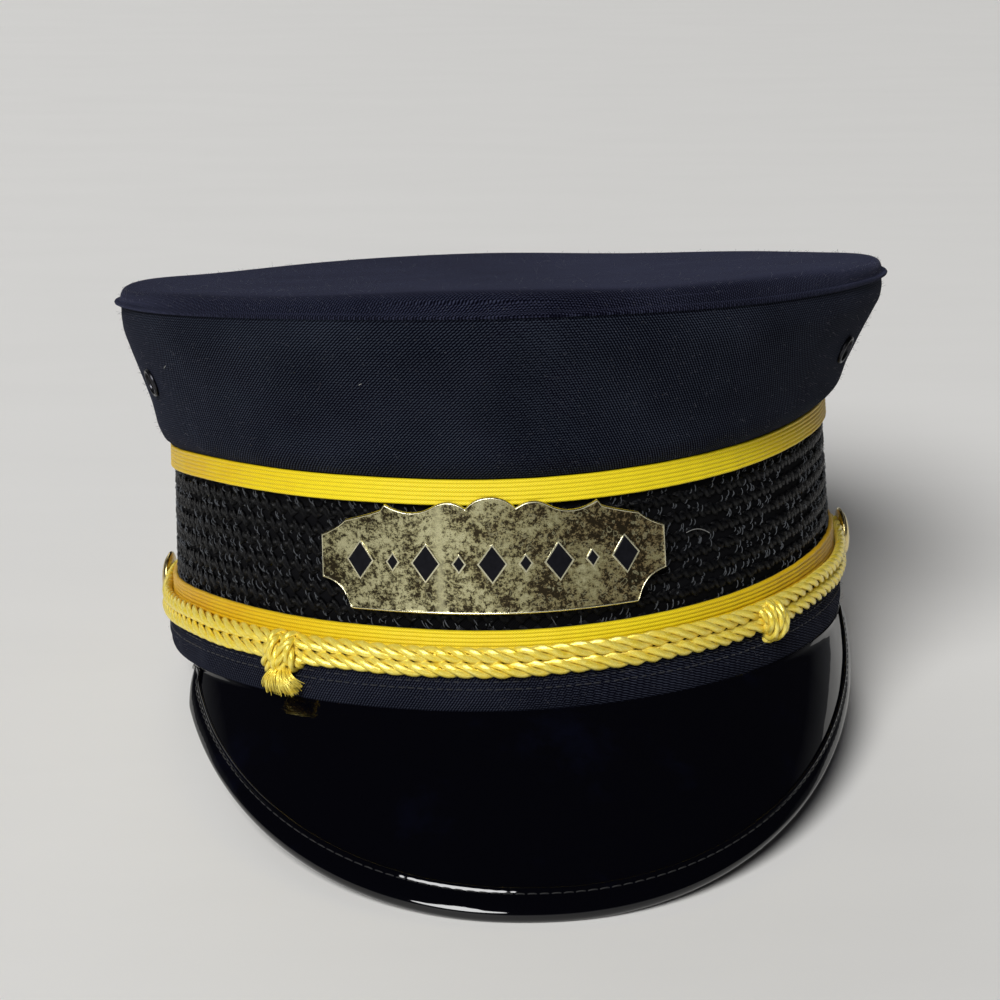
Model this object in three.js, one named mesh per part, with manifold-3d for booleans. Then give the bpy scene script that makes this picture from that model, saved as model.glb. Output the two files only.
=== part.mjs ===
import * as THREE from 'three';
import { mergeVertices } from 'three/addons/utils/BufferGeometryUtils.js';
import Module from 'manifold-3d';

// A conductor cap lying on a table: millimetres, +Z up, the peak towards -Y.
// "around" is the angle round the head in degrees, 0 at the front and 90 at +X.
// "out" is the distance outside the braids' outer face, "up" the height above the band's lower edge.

// Head band
const bandHalfWidth = 88;
const bandHalfLength = 104.3;
const bandSkew = 3.6;
const bandFlare = 2.3;
const bandWall = 2.4;
const edgeWall = 3;
const edgeRoll = 0.9;
const edgeHeight = 11.5;

// Trims round the band
const upperBraidTop = 54;
const lowerBraidTop = 19.3;
const braidWidth = 5.9;
const braidThickness = 1.1;
const meshThickness = 1;
const meshLap = 4;

// Crown
const seamHalfWidth = 101;
const seamHalfLength = 115.3;
const seamSkew = 2.6;
const seamShift = 2.5;
const seamHeight = 88.4;
const crownWall = 2.4;
const topWall = 2.2;
const rollHeight = 6;
const crownSag = 1.6;
const weltStandout = 1.6;

// Peak
const peakReach = 40.1;
const peakHalfWidth = 87.1;
const peakShift = 2.6;
const peakCornerForward = 6.8;
const peakCornerRise = 21.8;
const peakSheet = 1.5;
const peakCamber = 1.6;
const peakRoundness = 0.93;
const bindingWidth = 7.3;
const bindingLeaf = 0.7;
const bindingUnderEdge = 0.33;

// Nameplate
const plateWidth = 79.6;
const plateThickness = 1;
const plateRim = 0.35;
const plateRimWidth = 0.8;
const plateBottom = 23.4;
const plateHeight = 26.9;
const plateCentreUp = 35;
const plateAround = -6.3;
const lozengeWidth = 7.6;
const lozengeHeight = 9.4;
const lozengeRelief = 0.35;
const lozengeCount = 9;
const smallLozenge = 0.5;
const postRadius = 1;
const postSpacing = 50;

// Side buttons and chin cord; the cord is a little flattened against the band
const buttonRadius = 7;
const buttonDome = 2.6;
const shankRadius = 1;
const cordWidth = 3.6;
const cordDepth = 2.6;
const strandSpacing = 3.9;
const strandStep = 7.5;
const buttonClimb = 12;
const knotRadius = 3.9;
const knotDepth = 2.9;
const tailLength = 6.6;

// Vents in the crown
const ventRadius = 3.7;
const ventBore = 1.9;
const ventRim = 0.8;
const ventShare = 0.49;

// How the cap lies on the table
const restTilt = 9.35;
const restLean = 2.3;
const pressedFlat = 0.8;
const tipPressed = 0.3;

// Fits and steps
const clearance = 0.3;
const stepsAround = 48;
const peakSteps = 34;
const pinSides = 16;
const weldDistance = 1e-4;

// The soft cap wavers from place to place round the head: the trims' height as a share of
// trimWander, the seam's height as a share of seamWander and the turned edge as a share of rollHeight.
const trimWander = 6;
const seamWander = 1;
const waverRows = [
  { around: 0, trim: -0.39, seam: 0, roll: 1 },
  { around: 30, trim: -0.08, seam: -0.5, roll: 1.05 },
  { around: 60, trim: 0.57, seam: 0.2, roll: 0.83 },
  { around: 90, trim: 0.98, seam: 0.5, roll: 0.62 },
  { around: 120, trim: 0.7, seam: -0.4, roll: 0.62 },
  { around: 150, trim: 0.25, seam: -1.4, roll: 0.6 },
  { around: 180, trim: 0, seam: -1.2, roll: 0.8 },
  { around: 210, trim: -0.05, seam: -0.8, roll: 0.77 },
  { around: 240, trim: -0.25, seam: -0.4, roll: 0.73 },
  { around: 270, trim: -0.41, seam: 0.6, roll: 0.73 },
  { around: 300, trim: -0.08, seam: 0.9, roll: 0.82 },
  { around: 330, trim: -0.21, seam: 0.9, roll: 0.93 },
];

// The side of the crown from its foot to the seam: height and flare as shares of the whole.
const crownRows = [
  { height: 0, flare: 0 },
  { height: 0.05, flare: 0.14 },
  { height: 0.12, flare: 0.27 },
  { height: 0.3, flare: 0.4 },
  { height: 0.55, flare: 0.66 },
  { height: 0.82, flare: 0.96 },
  { height: 0.93, flare: 1 },
  { height: 1, flare: 0.98 },
];

// The turned edge and top panel: radius as a share of the seam's, level as a share of the roll.
const topRows = [
  { radius: 1, level: 0.3 },
  { radius: 0.997, level: 0.62 },
  { radius: 0.99, level: 0.84 },
  { radius: 0.974, level: 0.96 },
  { radius: 0.94, level: 1 },
  { radius: 0.75, level: 1 },
  { radius: 0.4, level: 1 },
];

// Where the ends of the peak lie: the angle along its own edge and the angle round the band.
const peakEnds = {
  left: { edge: -78, seat: -70.5 },
  right: { edge: 88, seat: 79 },
};

// Where the small fittings lie, by the angle round the band.
const buttonSides = { button_left: -100, button_right: 86.5 };
const ventSides = { vent_left: -70, vent_right: 59 };

// The knots that slide along the cord: their place and their form as shares of knotRadius.
const knots = [
  { around: -40, wide: 1, high: 1.15, tail: true },
  { around: 39.2, wide: 0.85, high: 1.1, tail: false },
];

const wasm = await Module();
wasm.setup();

const { clamp, degToRad, lerp, smoothstep } = THREE.MathUtils;

function waver(column, around) {
  const count = waverRows.length;
  const place = (((around % 360) + 360) % 360) / (360 / count);
  const row = Math.floor(place);
  const t = place - row;
  const [a, b, c, d] = [-1, 0, 1, 2].map((k) => waverRows[(row + k + count) % count][column]);
  return b + 0.5 * t * (c - a + t * (2 * a - 5 * b + 4 * c - d + t * (3 * (b - c) + d - a)));
}

function meanOf(column) {
  return waverRows.reduce((sum, row) => sum + row[column], 0) / waverRows.length;
}

function ovalPoint(halfWidth, halfLength, skew, around) {
  const x = halfWidth * Math.sin(degToRad(around));
  const y = -halfLength * Math.cos(degToRad(around));
  const turn = degToRad(skew);
  return new THREE.Vector2(x * Math.cos(turn) - y * Math.sin(turn), x * Math.sin(turn) + y * Math.cos(turn));
}

// A point of the band; its lower edge wavers half as much as the trims above it.
function bandPoint(around, out, up) {
  const spread = out + bandFlare * (1 - up / upperBraidTop);
  const { x, y } = ovalPoint(bandHalfWidth + spread, bandHalfLength + spread, bandSkew, around);
  const follow = lerp(0.5, 1, clamp(up / lowerBraidTop, 0, 1));
  return new THREE.Vector3(x, y, up + follow * trimWander * waver('trim', around));
}

function seamPoint(around, out) {
  const { x, y } = ovalPoint(seamHalfWidth + out, seamHalfLength + out, seamSkew, around);
  return new THREE.Vector3(x + seamShift, y, seamHeight + seamWander * waver('seam', around));
}

function crownPoint(around, out, height) {
  const foot = bandPoint(around, out, upperBraidTop + clearance);
  const seam = seamPoint(around, out);
  const point = foot.clone().lerp(seam, flareAt(height));
  point.z = lerp(foot.z, seam.z, height);
  return point;
}

function flareAt(height) {
  const next = Math.max(1, crownRows.findIndex((row) => row.height >= height - 1e-6));
  const [low, high] = [crownRows[next - 1], crownRows[next]];
  return lerp(low.flare, high.flare, (height - low.height) / (high.height - low.height));
}

// A point of the top panel; the wavering of the rim dies out towards the middle.
function topPoint(around, radius, level) {
  const rim = smoothstep(radius, 0, 0.9);
  const standout = Math.max(radius - 1, 0) * seamHalfWidth * (0.2 + 0.8 * Math.sin(degToRad(around)) ** 6);
  const scale = Math.min(radius, 1);
  const { x, y } = ovalPoint(
    scale * seamHalfWidth + standout, scale * seamHalfLength + standout, seamSkew, around);
  const seam = lerp(meanOf('seam'), waver('seam', around), rim) * seamWander;
  const roll = lerp(meanOf('roll'), waver('roll', around), rim) * rollHeight;
  const sag = crownSag * (1 - scale ** 2) * smoothstep(level, 0, 0.6);
  return new THREE.Vector3(x + seamShift, y, seamHeight + seam + clearance + roll * level - sag);
}

// Welds a geometry into one closed body whose faces point out.
function closed(geometry) {
  geometry.deleteAttribute('normal');
  geometry.deleteAttribute('uv');
  const body = mergeVertices(geometry, weldDistance);
  const corners = body.index.array;
  const kept = [];
  for (let i = 0; i < corners.length; i += 3) {
    const [a, b, c] = corners.slice(i, i + 3);
    if (a !== b && b !== c && c !== a) kept.push(a, b, c);
  }
  body.setIndex(volumeOf(body, kept) < 0 ? kept.reverse() : kept);
  body.computeVertexNormals();
  return body;
}

function volumeOf(geometry, corners) {
  const [a, b, c] = [0, 1, 2].map(() => new THREE.Vector3());
  let volume = 0;
  for (let i = 0; i < corners.length; i += 3) {
    a.fromBufferAttribute(geometry.attributes.position, corners[i]);
    b.fromBufferAttribute(geometry.attributes.position, corners[i + 1]);
    c.fromBufferAttribute(geometry.attributes.position, corners[i + 2]);
    volume += a.dot(b.cross(c)) / 6;
  }
  return volume;
}

// Moves each point of a plain geometry to its place on the cap.
function bend(geometry, place) {
  const position = geometry.attributes.position;
  const point = new THREE.Vector3();
  for (let i = 0; i < position.count; i++) {
    point.fromBufferAttribute(position, i);
    const bent = place(point);
    position.setXYZ(i, bent.x, bent.y, bent.z);
  }
  return closed(geometry);
}

// Turns a closed profile of { radius, level } about the axis and bends it onto the cap's oval.
function turned(profile, place) {
  const points = profile.map(({ radius, level }) => new THREE.Vector2(radius, level));
  const lathe = new THREE.LatheGeometry(points, stepsAround);
  return bend(lathe, ({ x, y, z }) => {
    const around = THREE.MathUtils.radToDeg(Math.atan2(x, z));
    return place(around, Math.hypot(x, z), y);
  });
}

// A ring of the band from its closed section of [out, up] corners.
function bandRing(section) {
  const corners = [...section, section[0]];
  const profile = corners.map(([out, up]) => ({ radius: bandHalfWidth + out, level: up }));
  return turned(profile, (around, radius, up) => bandPoint(around, radius - bandHalfWidth, up));
}

function solidOf(geometry) {
  const vertProperties = new Float32Array(geometry.attributes.position.array);
  const triVerts = new Uint32Array(geometry.index.array);
  return new wasm.Manifold(new wasm.Mesh({ numProp: 3, vertProperties, triVerts }));
}

function geometryOf(solid) {
  const { vertProperties, triVerts } = solid.getMesh();
  const geometry = new THREE.BufferGeometry();
  geometry.setAttribute('position', new THREE.BufferAttribute(vertProperties, 3));
  geometry.setIndex([...triVerts]);
  return closed(geometry);
}

function cutAway(geometry, ...tools) {
  return geometryOf(tools.reduce((solid, tool) => solid.subtract(solidOf(tool)), solidOf(geometry)));
}

function joined(geometry, ...others) {
  return geometryOf(others.reduce((solid, other) => solid.add(solidOf(other)), solidOf(geometry)));
}

// How the band and crown lean on the table: raised at the front and at the right side.
function leanMatrix() {
  const lean = new THREE.Matrix4().makeRotationX(-degToRad(restTilt));
  lean.multiply(new THREE.Matrix4().makeRotationY(-degToRad(restLean)));
  let lowest = 0;
  for (let around = 0; around < 360; around += 360 / stepsAround) {
    lowest = Math.min(lowest, bandPoint(around, 0, 0).applyMatrix4(lean).z);
  }
  return new THREE.Matrix4().makeTranslation(0, 0, -lowest - pressedFlat).multiply(lean);
}

const lean = leanMatrix();

// Everything below the table top, for trimming what is pressed flat there.
function tableTop() {
  const span = 4 * bandHalfLength;
  return closed(new THREE.BoxGeometry(span, span, span).translate(0, 0, -span / 2));
}

// A round pin or hole that runs outwards through the band at one place.
function radialPin(around, up, radius, from, to) {
  const inner = bandPoint(around, from, up);
  const outer = bandPoint(around, to, up);
  const pin = new THREE.CylinderGeometry(radius, radius, inner.distanceTo(outer), pinSides);
  return closed(pin.applyMatrix4(facing(around, up, (from + to) / 2)));
}

// Places a thing that is modelled along +Y so that it stands straight out of the band.
function facing(around, up, out) {
  const origin = bandPoint(around, out, up);
  const side = bandPoint(around + 1, out, up).sub(bandPoint(around - 1, out, up)).normalize();
  const above = bandPoint(around, out, up + 1).sub(bandPoint(around, out, up - 1)).normalize();
  const normal = side.clone().cross(above).normalize();
  return frameAt(origin, normal, above);
}

function frameAt(origin, normal, above) {
  const level = above.clone().addScaledVector(normal, -above.dot(normal)).normalize();
  const basis = new THREE.Matrix4().makeBasis(normal.clone().cross(level), normal, level);
  return basis.setPosition(origin);
}

const meshOut = -(braidThickness + clearance);
const wallOut = meshOut - meshThickness - clearance;
const meshBottom = lowerBraidTop - meshLap;
const meshTop = upperBraidTop - braidWidth + meshLap;
const buttonUp = lowerBraidTop - braidWidth - clearance - shankRadius;
const domeOut = clearance + cordDepth + clearance;

function postPlaces() {
  const perDegree = bandPoint(0.5, 0, plateCentreUp).distanceTo(bandPoint(-0.5, 0, plateCentreUp));
  return [-1, 1].map((side) => plateAround + (side * postSpacing) / 2 / perDegree);
}

function bandHoles() {
  const shanks = Object.values(buttonSides).map((around) =>
    radialPin(around, buttonUp, shankRadius + clearance, wallOut - 2 * bandWall, braidThickness));
  const posts = postPlaces().map((around) =>
    radialPin(around, plateCentreUp, postRadius + clearance, wallOut - 2 * bandWall, braidThickness));
  return [...shanks, ...posts];
}

function headBand() {
  const inner = wallOut - bandWall;
  const edgeInner = edgeRoll - edgeWall;
  const wall = bandRing([
    [edgeInner, 0],
    [0, 0],
    [edgeRoll, 0.18 * edgeHeight],
    [edgeRoll, 0.5 * edgeHeight],
    [0, 0.85 * edgeHeight],
    [wallOut, edgeHeight],
    [wallOut, upperBraidTop + clearance],
    [inner, upperBraidTop + clearance],
    [inner, edgeHeight - bandWall],
    [edgeInner, edgeHeight - 2 * bandWall],
  ]);
  const table = tableTop().applyMatrix4(lean.clone().invert());
  return cutAway(wall, table, ...bandHoles());
}

function meshBand() {
  const ring = bandRing([
    [meshOut - meshThickness, meshBottom],
    [meshOut, meshBottom],
    [meshOut, meshTop],
    [meshOut - meshThickness, meshTop],
  ]);
  return cutAway(ring, ...bandHoles());
}

function braid(top) {
  const corner = 0.3 * braidThickness;
  return bandRing([
    [-braidThickness, top - braidWidth],
    [-corner, top - braidWidth],
    [0, top - braidWidth + 2 * corner],
    [0, top - 2 * corner],
    [-corner, top],
    [-braidThickness, top],
  ]);
}

function crownSide() {
  const wallLine = (rows, out) => rows.map(({ height }) => ({ radius: bandHalfWidth + out, level: height }));
  const outer = wallLine(crownRows, 0);
  const inner = wallLine([...crownRows].reverse(), -crownWall);
  const profile = [...outer, ...inner, outer[0]];
  const side = turned(profile, (around, radius, height) =>
    crownPoint(around, radius - bandHalfWidth, height));
  const holeRadius = ventBore + ventRim + clearance;
  const holes = Object.values(ventSides).map((around) => {
    const hole = new THREE.CylinderGeometry(holeRadius, holeRadius, 6 * crownWall, pinSides);
    return closed(hole.applyMatrix4(ventFrame(around)));
  });
  return cutAway(side, ...holes);
}

function ventFrame(around) {
  const origin = crownPoint(around, 0, ventShare);
  const side = crownPoint(around + 1, 0, ventShare).sub(crownPoint(around - 1, 0, ventShare));
  const above = crownPoint(around, 0, ventShare + 0.1).sub(crownPoint(around, 0, ventShare - 0.1));
  return frameAt(origin, side.cross(above).normalize(), above);
}

function vent(around) {
  const barrel = ventBore + ventRim;
  const section = [
    [ventBore, -crownWall],
    [barrel, -crownWall],
    [barrel, clearance],
    [ventRadius, clearance],
    [ventRadius - 0.2 * ventRim, clearance + 0.6 * ventRim],
    [barrel, clearance + 1.1 * ventRim],
    [ventBore, clearance + 0.7 * ventRim],
    [ventBore, -crownWall],
  ];
  const ring = new THREE.LatheGeometry(section.map(([x, y]) => new THREE.Vector2(x, y)), pinSides);
  return closed(ring.applyMatrix4(ventFrame(around)));
}

function crownTop() {
  const standout = weltStandout / seamHalfWidth;
  const wall = topWall / seamHalfWidth;
  const panel = topWall / rollHeight;
  const profile = [
    { radius: 0, level: 1 - panel },
    { radius: 0.75, level: 1 - panel },
    { radius: 0.96 - wall, level: 1 - panel },
    { radius: 1 - wall, level: 0.5 * (1 - panel) },
    { radius: 1 - wall, level: 0 },
    { radius: 1 + 0.6 * standout, level: 0 },
    { radius: 1 + standout, level: 0.12 },
    { radius: 1 + 0.5 * standout, level: 0.24 },
    ...topRows,
    { radius: 0, level: 1 },
  ];
  return turned(profile, topPoint);
}

// The outermost line of the peak, level on the table at its tip and risen at its corners.
function peakEdge(edge) {
  const turn = degToRad(edge);
  const aside = Math.sign(turn) * Math.abs(Math.sin(turn)) ** peakRoundness;
  const ahead = Math.max(Math.cos(turn), 0) ** peakRoundness;
  const tip = bandHalfLength + peakReach - peakCornerForward;
  const edgeLift = bindingUnderEdge * (0.5 * peakSheet + clearance + bindingLeaf) - tipPressed;
  return new THREE.Vector3(
    peakShift + peakHalfWidth * aside,
    -peakCornerForward - tip * ahead,
    peakCornerRise * (1 - ahead) + edgeLift,
  );
}

// The frame of the peak at a share of the way from its left end to its right end.
function peakStation(share) {
  const edge = lerp(peakEnds.left.edge, peakEnds.right.edge, share);
  const seat = lerp(peakEnds.left.seat, peakEnds.right.seat, share);
  const under = clearance + 0.5 * peakSheet;
  const inner = bandPoint(seat, -0.5 * peakSheet, -under).applyMatrix4(lean);
  const outer = peakEdge(edge);
  const inward = inner.clone().sub(outer);
  const width = inward.length();
  inward.normalize();
  const along = peakEdge(edge + 1).sub(peakEdge(edge - 1)).normalize();
  const normal = along.cross(inward).normalize();
  if (normal.z < 0) normal.negate();
  return { outer, inward, normal, width };
}

function peakPoint(station, inset, offset) {
  const { outer, inward, normal, width } = station;
  const share = clamp(inset / width, 0, 1);
  const bulge = 4 * share * (1 - share) * peakCamber * smoothstep(width, 0, peakReach);
  return outer.clone().addScaledVector(inward, inset).addScaledVector(normal, bulge + offset);
}

function peak() {
  const sheet = new THREE.BoxGeometry(1, 1, peakSheet, peakSteps, 4, 1);
  const inset = bindingLeaf + clearance;
  return bend(sheet, ({ x, y, z }) => {
    const station = peakStation(x + 0.5);
    return peakPoint(station, lerp(inset, station.width, y + 0.5), z);
  });
}

function peakBinding() {
  const inside = 0.5 * peakSheet + clearance;
  const outside = inside + bindingLeaf;
  const outline = [
    [bindingWidth, outside], [0.9 * outside, outside], [0.3 * outside, 0.7 * outside], [0, 0],
    [0.3 * outside, -0.7 * outside], [0.9 * outside, -outside], [bindingWidth, -outside],
    [bindingWidth, -inside], [bindingLeaf, -inside], [bindingLeaf, inside], [bindingWidth, inside],
  ];
  const shape = new THREE.Shape(outline.map(([inset, offset]) => new THREE.Vector2(inset, offset)));
  const strip = new THREE.ExtrudeGeometry(shape, { depth: 1, steps: peakSteps, bevelEnabled: false });
  const edge = bindingLeaf + clearance;
  const bent = bend(strip, ({ x, y, z }) => {
    const station = peakStation(z);
    const reach = Math.min(bindingWidth, station.width - clearance);
    const inset = x <= edge ? x : lerp(edge, reach, (x - edge) / (bindingWidth - edge));
    return peakPoint(station, inset, y);
  });
  return cutAway(bent, tableTop());
}

// One half of the plate's outline, from the top of its middle lobe round to the middle of its
// lower edge, in shares of its half width and of its height.
function plateOutline() {
  const outline = new THREE.Path();
  outline.moveTo(0, 1);
  outline.quadraticCurveTo(0.09, 1, 0.145, 0.905);
  outline.quadraticCurveTo(0.24, 1, 0.33, 0.92);
  outline.quadraticCurveTo(0.46, 0.8, 0.615, 0.92);
  outline.lineTo(0.635, 0.875);
  outline.quadraticCurveTo(0.66, 0.85, 0.85, 0.77);
  outline.quadraticCurveTo(0.9, 0.69, 1, 0.625);
  const topPoints = outline.getPoints(3);
  const corner = new THREE.Path();
  corner.moveTo(0, 0);
  corner.lineTo(0.83, 0);
  corner.quadraticCurveTo(0.86, 0.22, 1, 0.25);
  return { topPoints, bottomPoints: corner.getPoints(3) };
}

function levelAt(points, across) {
  const next = Math.max(1, points.findIndex((point) => point.x >= across - 1e-9));
  const [low, high] = [points[next - 1], points[next]];
  return lerp(low.y, high.y, (across - low.x) / (high.x - low.x));
}

// A point of the plate by its distance from the plate's middle line, as seen from the front.
function platePoint(across, up, out) {
  const turn = THREE.MathUtils.radToDeg(Math.asin(across / (bandHalfWidth + bandFlare)));
  return { around: plateAround + turn, out, up };
}

function nameplate() {
  const half = plateWidth / 2;
  const rimShare = plateRimWidth / half;
  const { topPoints, bottomPoints } = plateOutline();
  const oneSide = [...topPoints, ...bottomPoints].map((point) => point.x);
  oneSide.push(1 - rimShare, 1 - 1.3 * rimShare);
  const places = [...new Set([...oneSide, ...oneSide.map((x) => -x)].map((x) => Number(x.toFixed(4)) + 0))];
  places.sort((a, b) => a - b);
  const columns = places.length - 1;
  const bands = 5;
  const blank = new THREE.BoxGeometry(1, 1, 1, columns, bands, 1);
  const face = bend(blank, ({ x, y, z }) => {
    const across = places[Math.round((x + 0.5) * columns)];
    const low = plateBottom + plateHeight * levelAt(bottomPoints, Math.abs(across));
    const high = plateBottom + plateHeight * levelAt(topPoints, Math.abs(across));
    const row = Math.round((y + 0.5) * bands);
    const inset = plateRimWidth * [0, 1, 1.3][Math.min(row, bands - row)];
    const up = row < bands / 2 ? low + inset : high - inset;
    const raised = row < 2 || row > bands - 2 || Math.abs(across) > 1 - 1.2 * rimShare;
    const out = z < 0 ? clearance : clearance + plateThickness + (raised ? plateRim : 0);
    const { around } = platePoint(across * half, up, out);
    return bandPoint(around, out, up);
  });
  return joined(face, ...platePosts(), ...plateOrnament());
}

function platePosts() {
  return postPlaces().map((around) => radialPin(
    around, plateCentreUp, postRadius, wallOut - bandWall, clearance + 0.5 * plateThickness));
}

// A row of lozenges, large and small by turns, raised on the plate's face.
function plateOrnament() {
  return Array.from({ length: lozengeCount }, (_, i) => {
    const size = i % 2 === 0 ? 1 : smallLozenge;
    const w = (size * lozengeWidth) / 2;
    const h = (size * lozengeHeight) / 2;
    const lozenge = new THREE.Shape();
    lozenge.moveTo(w, 0);
    lozenge.lineTo(0, h);
    lozenge.lineTo(-w, 0);
    lozenge.lineTo(0, -h);
    const depth = 0.5 * plateThickness + lozengeRelief;
    const block = new THREE.ExtrudeGeometry(lozenge, { depth, bevelEnabled: false });
    const across = (i - (lozengeCount - 1) / 2) * lozengeWidth;
    const { around } = platePoint(across, plateCentreUp, 0);
    const seat = facing(around, plateCentreUp, clearance + 0.5 * plateThickness);
    return closed(block.rotateX(-Math.PI / 2).applyMatrix4(seat));
  });
}

function button(around) {
  const section = [
    [0, wallOut - bandWall],
    [shankRadius, wallOut - bandWall],
    [shankRadius, domeOut],
    [0.94 * buttonRadius, domeOut],
    [buttonRadius, domeOut + 0.2 * buttonDome],
    [0.96 * buttonRadius, domeOut + 0.4 * buttonDome],
    [0.76 * buttonRadius, domeOut + 0.72 * buttonDome],
    [0.42 * buttonRadius, domeOut + 0.94 * buttonDome],
    [0, domeOut + buttonDome],
  ];
  const dome = new THREE.LatheGeometry(section.map(([x, y]) => new THREE.Vector2(x, y)), pinSides);
  return closed(dome.applyMatrix4(facing(around, buttonUp, 0)));
}

// The cord's route steps from one chosen point to the next, so that its turns stay round.
class CordRoute extends THREE.CatmullRomCurve3 {
  getPointAt(share, target) {
    return this.getPoint(share, target);
  }

  getTangentAt(share, target) {
    return this.getTangent(share, target);
  }
}

const cordOut = clearance + 0.5 * cordDepth;
const turnRadius = shankRadius + clearance + 0.5 * cordWidth;

// A half turn round a button's shank, from above it to below it on the side away from the front.
function shankTurn(around) {
  const perDegree = bandPoint(around + 0.5, 0, buttonUp).distanceTo(bandPoint(around - 0.5, 0, buttonUp));
  return [90, 54, 18, -18, -54, -90].map((turn) => bandPoint(
    around + (Math.sign(around) * turnRadius * Math.cos(degToRad(turn))) / perDegree,
    cordOut,
    buttonUp + turnRadius * Math.sin(degToRad(turn)),
  ));
}

// One strand between two angles; it draws away from the other strand as it comes to a button.
function strand(from, to, side) {
  const count = Math.round(Math.abs(to - from) / strandStep);
  return Array.from({ length: count + 1 }, (_, i) => {
    const around = lerp(from, to, i / count);
    const toLeft = smoothstep(buttonSides.button_left - around, -buttonClimb, 0);
    const toRight = smoothstep(around - buttonSides.button_right, -buttonClimb, 0);
    const apart = lerp(0.5 * strandSpacing, turnRadius, Math.max(toLeft, toRight));
    return bandPoint(around, cordOut, buttonUp + side * apart);
  });
}

function chinCord() {
  const { button_left: left, button_right: right } = buttonSides;
  const turnStart = 0.35 * buttonClimb;
  const gapInKnot = 0.05 * strandStep;
  const start = knots[0].around;
  const points = [
    ...strand(start + gapInKnot, right - turnStart, -1),
    ...shankTurn(right).reverse(),
    ...strand(right - turnStart, left + turnStart, 1),
    ...shankTurn(left),
    ...strand(left + turnStart, start - gapInKnot, -1),
  ];
  const section = new THREE.Shape();
  section.absellipse(0, 0, 0.5 * cordWidth, 0.5 * cordDepth, 0, 2 * Math.PI);
  const rope = new THREE.ExtrudeGeometry(section, {
    curveSegments: 4, steps: points.length - 1, extrudePath: new CordRoute(points), bevelEnabled: false,
  });
  return joined(closed(rope), ...knots.flatMap(cordKnot));
}

// A knot as a lump round both strands, with the spread end of the cord below it.
function cordKnot({ around, wide, high, tail }) {
  const up = buttonUp - 0.5 * strandSpacing;
  const seat = edgeRoll + clearance + knotDepth;
  const lump = new THREE.SphereGeometry(knotRadius, 10, 6);
  lump.scale(wide, knotDepth / knotRadius, high).applyMatrix4(facing(around, up, seat));
  if (!tail) return [closed(lump)];
  const end = new THREE.CylinderGeometry(0.6 * knotRadius, 1.1 * knotRadius, tailLength, 10);
  end.rotateX(Math.PI / 2).scale(1, 0.6, 1).applyMatrix4(facing(around, up - 0.9 * tailLength, seat));
  return [closed(lump), closed(end)];
}

function material(color, roughness, metalness = 0) {
  return new THREE.MeshStandardMaterial({ color, roughness, metalness });
}

function add(group, name, geometry, surface) {
  const mesh = new THREE.Mesh(geometry, surface);
  mesh.name = name;
  group.add(mesh);
}

const navyCloth = material(0x14162a, 0.9);
const blackMesh = material(0x0b0c10, 0.6);
const yellowBraid = material(0xf2c414, 0.55);
const patent = material(0x050507, 0.08);
const brass = material(0xb5ab6a, 0.3, 1);
const darkMetal = material(0x2c2c33, 0.4, 1);

const cap = new THREE.Group();
const leaning = new THREE.Group();
leaning.applyMatrix4(lean);
cap.add(leaning);

add(leaning, 'crown_top', crownTop(), navyCloth);
add(leaning, 'crown_side', crownSide(), navyCloth);
add(leaning, 'head_band', headBand(), navyCloth);
add(leaning, 'mesh_band', meshBand(), blackMesh);
add(leaning, 'upper_braid', braid(upperBraidTop), yellowBraid);
add(leaning, 'lower_braid', braid(lowerBraidTop), yellowBraid);
add(leaning, 'nameplate', nameplate(), brass);
add(leaning, 'chin_cord', chinCord(), yellowBraid);
for (const [name, around] of Object.entries(buttonSides)) add(leaning, name, button(around), brass);
for (const [name, around] of Object.entries(ventSides)) add(leaning, name, vent(around), darkMetal);
add(cap, 'peak', peak(), patent);
add(cap, 'peak_binding', peakBinding(), patent);

// The origin is on the table, under the middle of the whole cap.
cap.updateMatrixWorld(true);
const bounds = new THREE.Box3().setFromObject(cap, true);
cap.position.set(-(bounds.min.x + bounds.max.x) / 2, -(bounds.min.y + bounds.max.y) / 2, -bounds.min.z);
cap.updateMatrixWorld(true);

export default cap;
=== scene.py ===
import bpy
import numpy as np
from mathutils import Matrix, Vector


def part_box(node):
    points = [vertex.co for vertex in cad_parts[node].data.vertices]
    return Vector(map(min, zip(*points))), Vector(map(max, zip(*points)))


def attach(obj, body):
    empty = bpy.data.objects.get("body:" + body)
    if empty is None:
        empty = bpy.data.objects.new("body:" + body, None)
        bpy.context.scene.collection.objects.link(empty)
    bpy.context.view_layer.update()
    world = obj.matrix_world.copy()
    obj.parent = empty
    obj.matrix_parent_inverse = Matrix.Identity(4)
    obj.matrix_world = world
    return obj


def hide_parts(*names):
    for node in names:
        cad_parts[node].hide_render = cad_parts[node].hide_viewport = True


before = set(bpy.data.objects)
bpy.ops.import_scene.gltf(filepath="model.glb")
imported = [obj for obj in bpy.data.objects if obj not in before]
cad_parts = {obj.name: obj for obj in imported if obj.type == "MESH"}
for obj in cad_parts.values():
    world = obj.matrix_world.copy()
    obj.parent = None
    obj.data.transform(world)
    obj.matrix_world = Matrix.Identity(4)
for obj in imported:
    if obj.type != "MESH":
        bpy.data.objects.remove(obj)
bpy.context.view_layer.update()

print("frame loaded:", len(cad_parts), "nodes")

# Lengths are millimetres until a mesh is made. "around" is the angle round the head in degrees,
# 0 at the front and 90 at +X, "out" the distance outside the braids' face, "up" the height above
# the band's lower edge.
metre = 0.001
fit = 0.3

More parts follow.
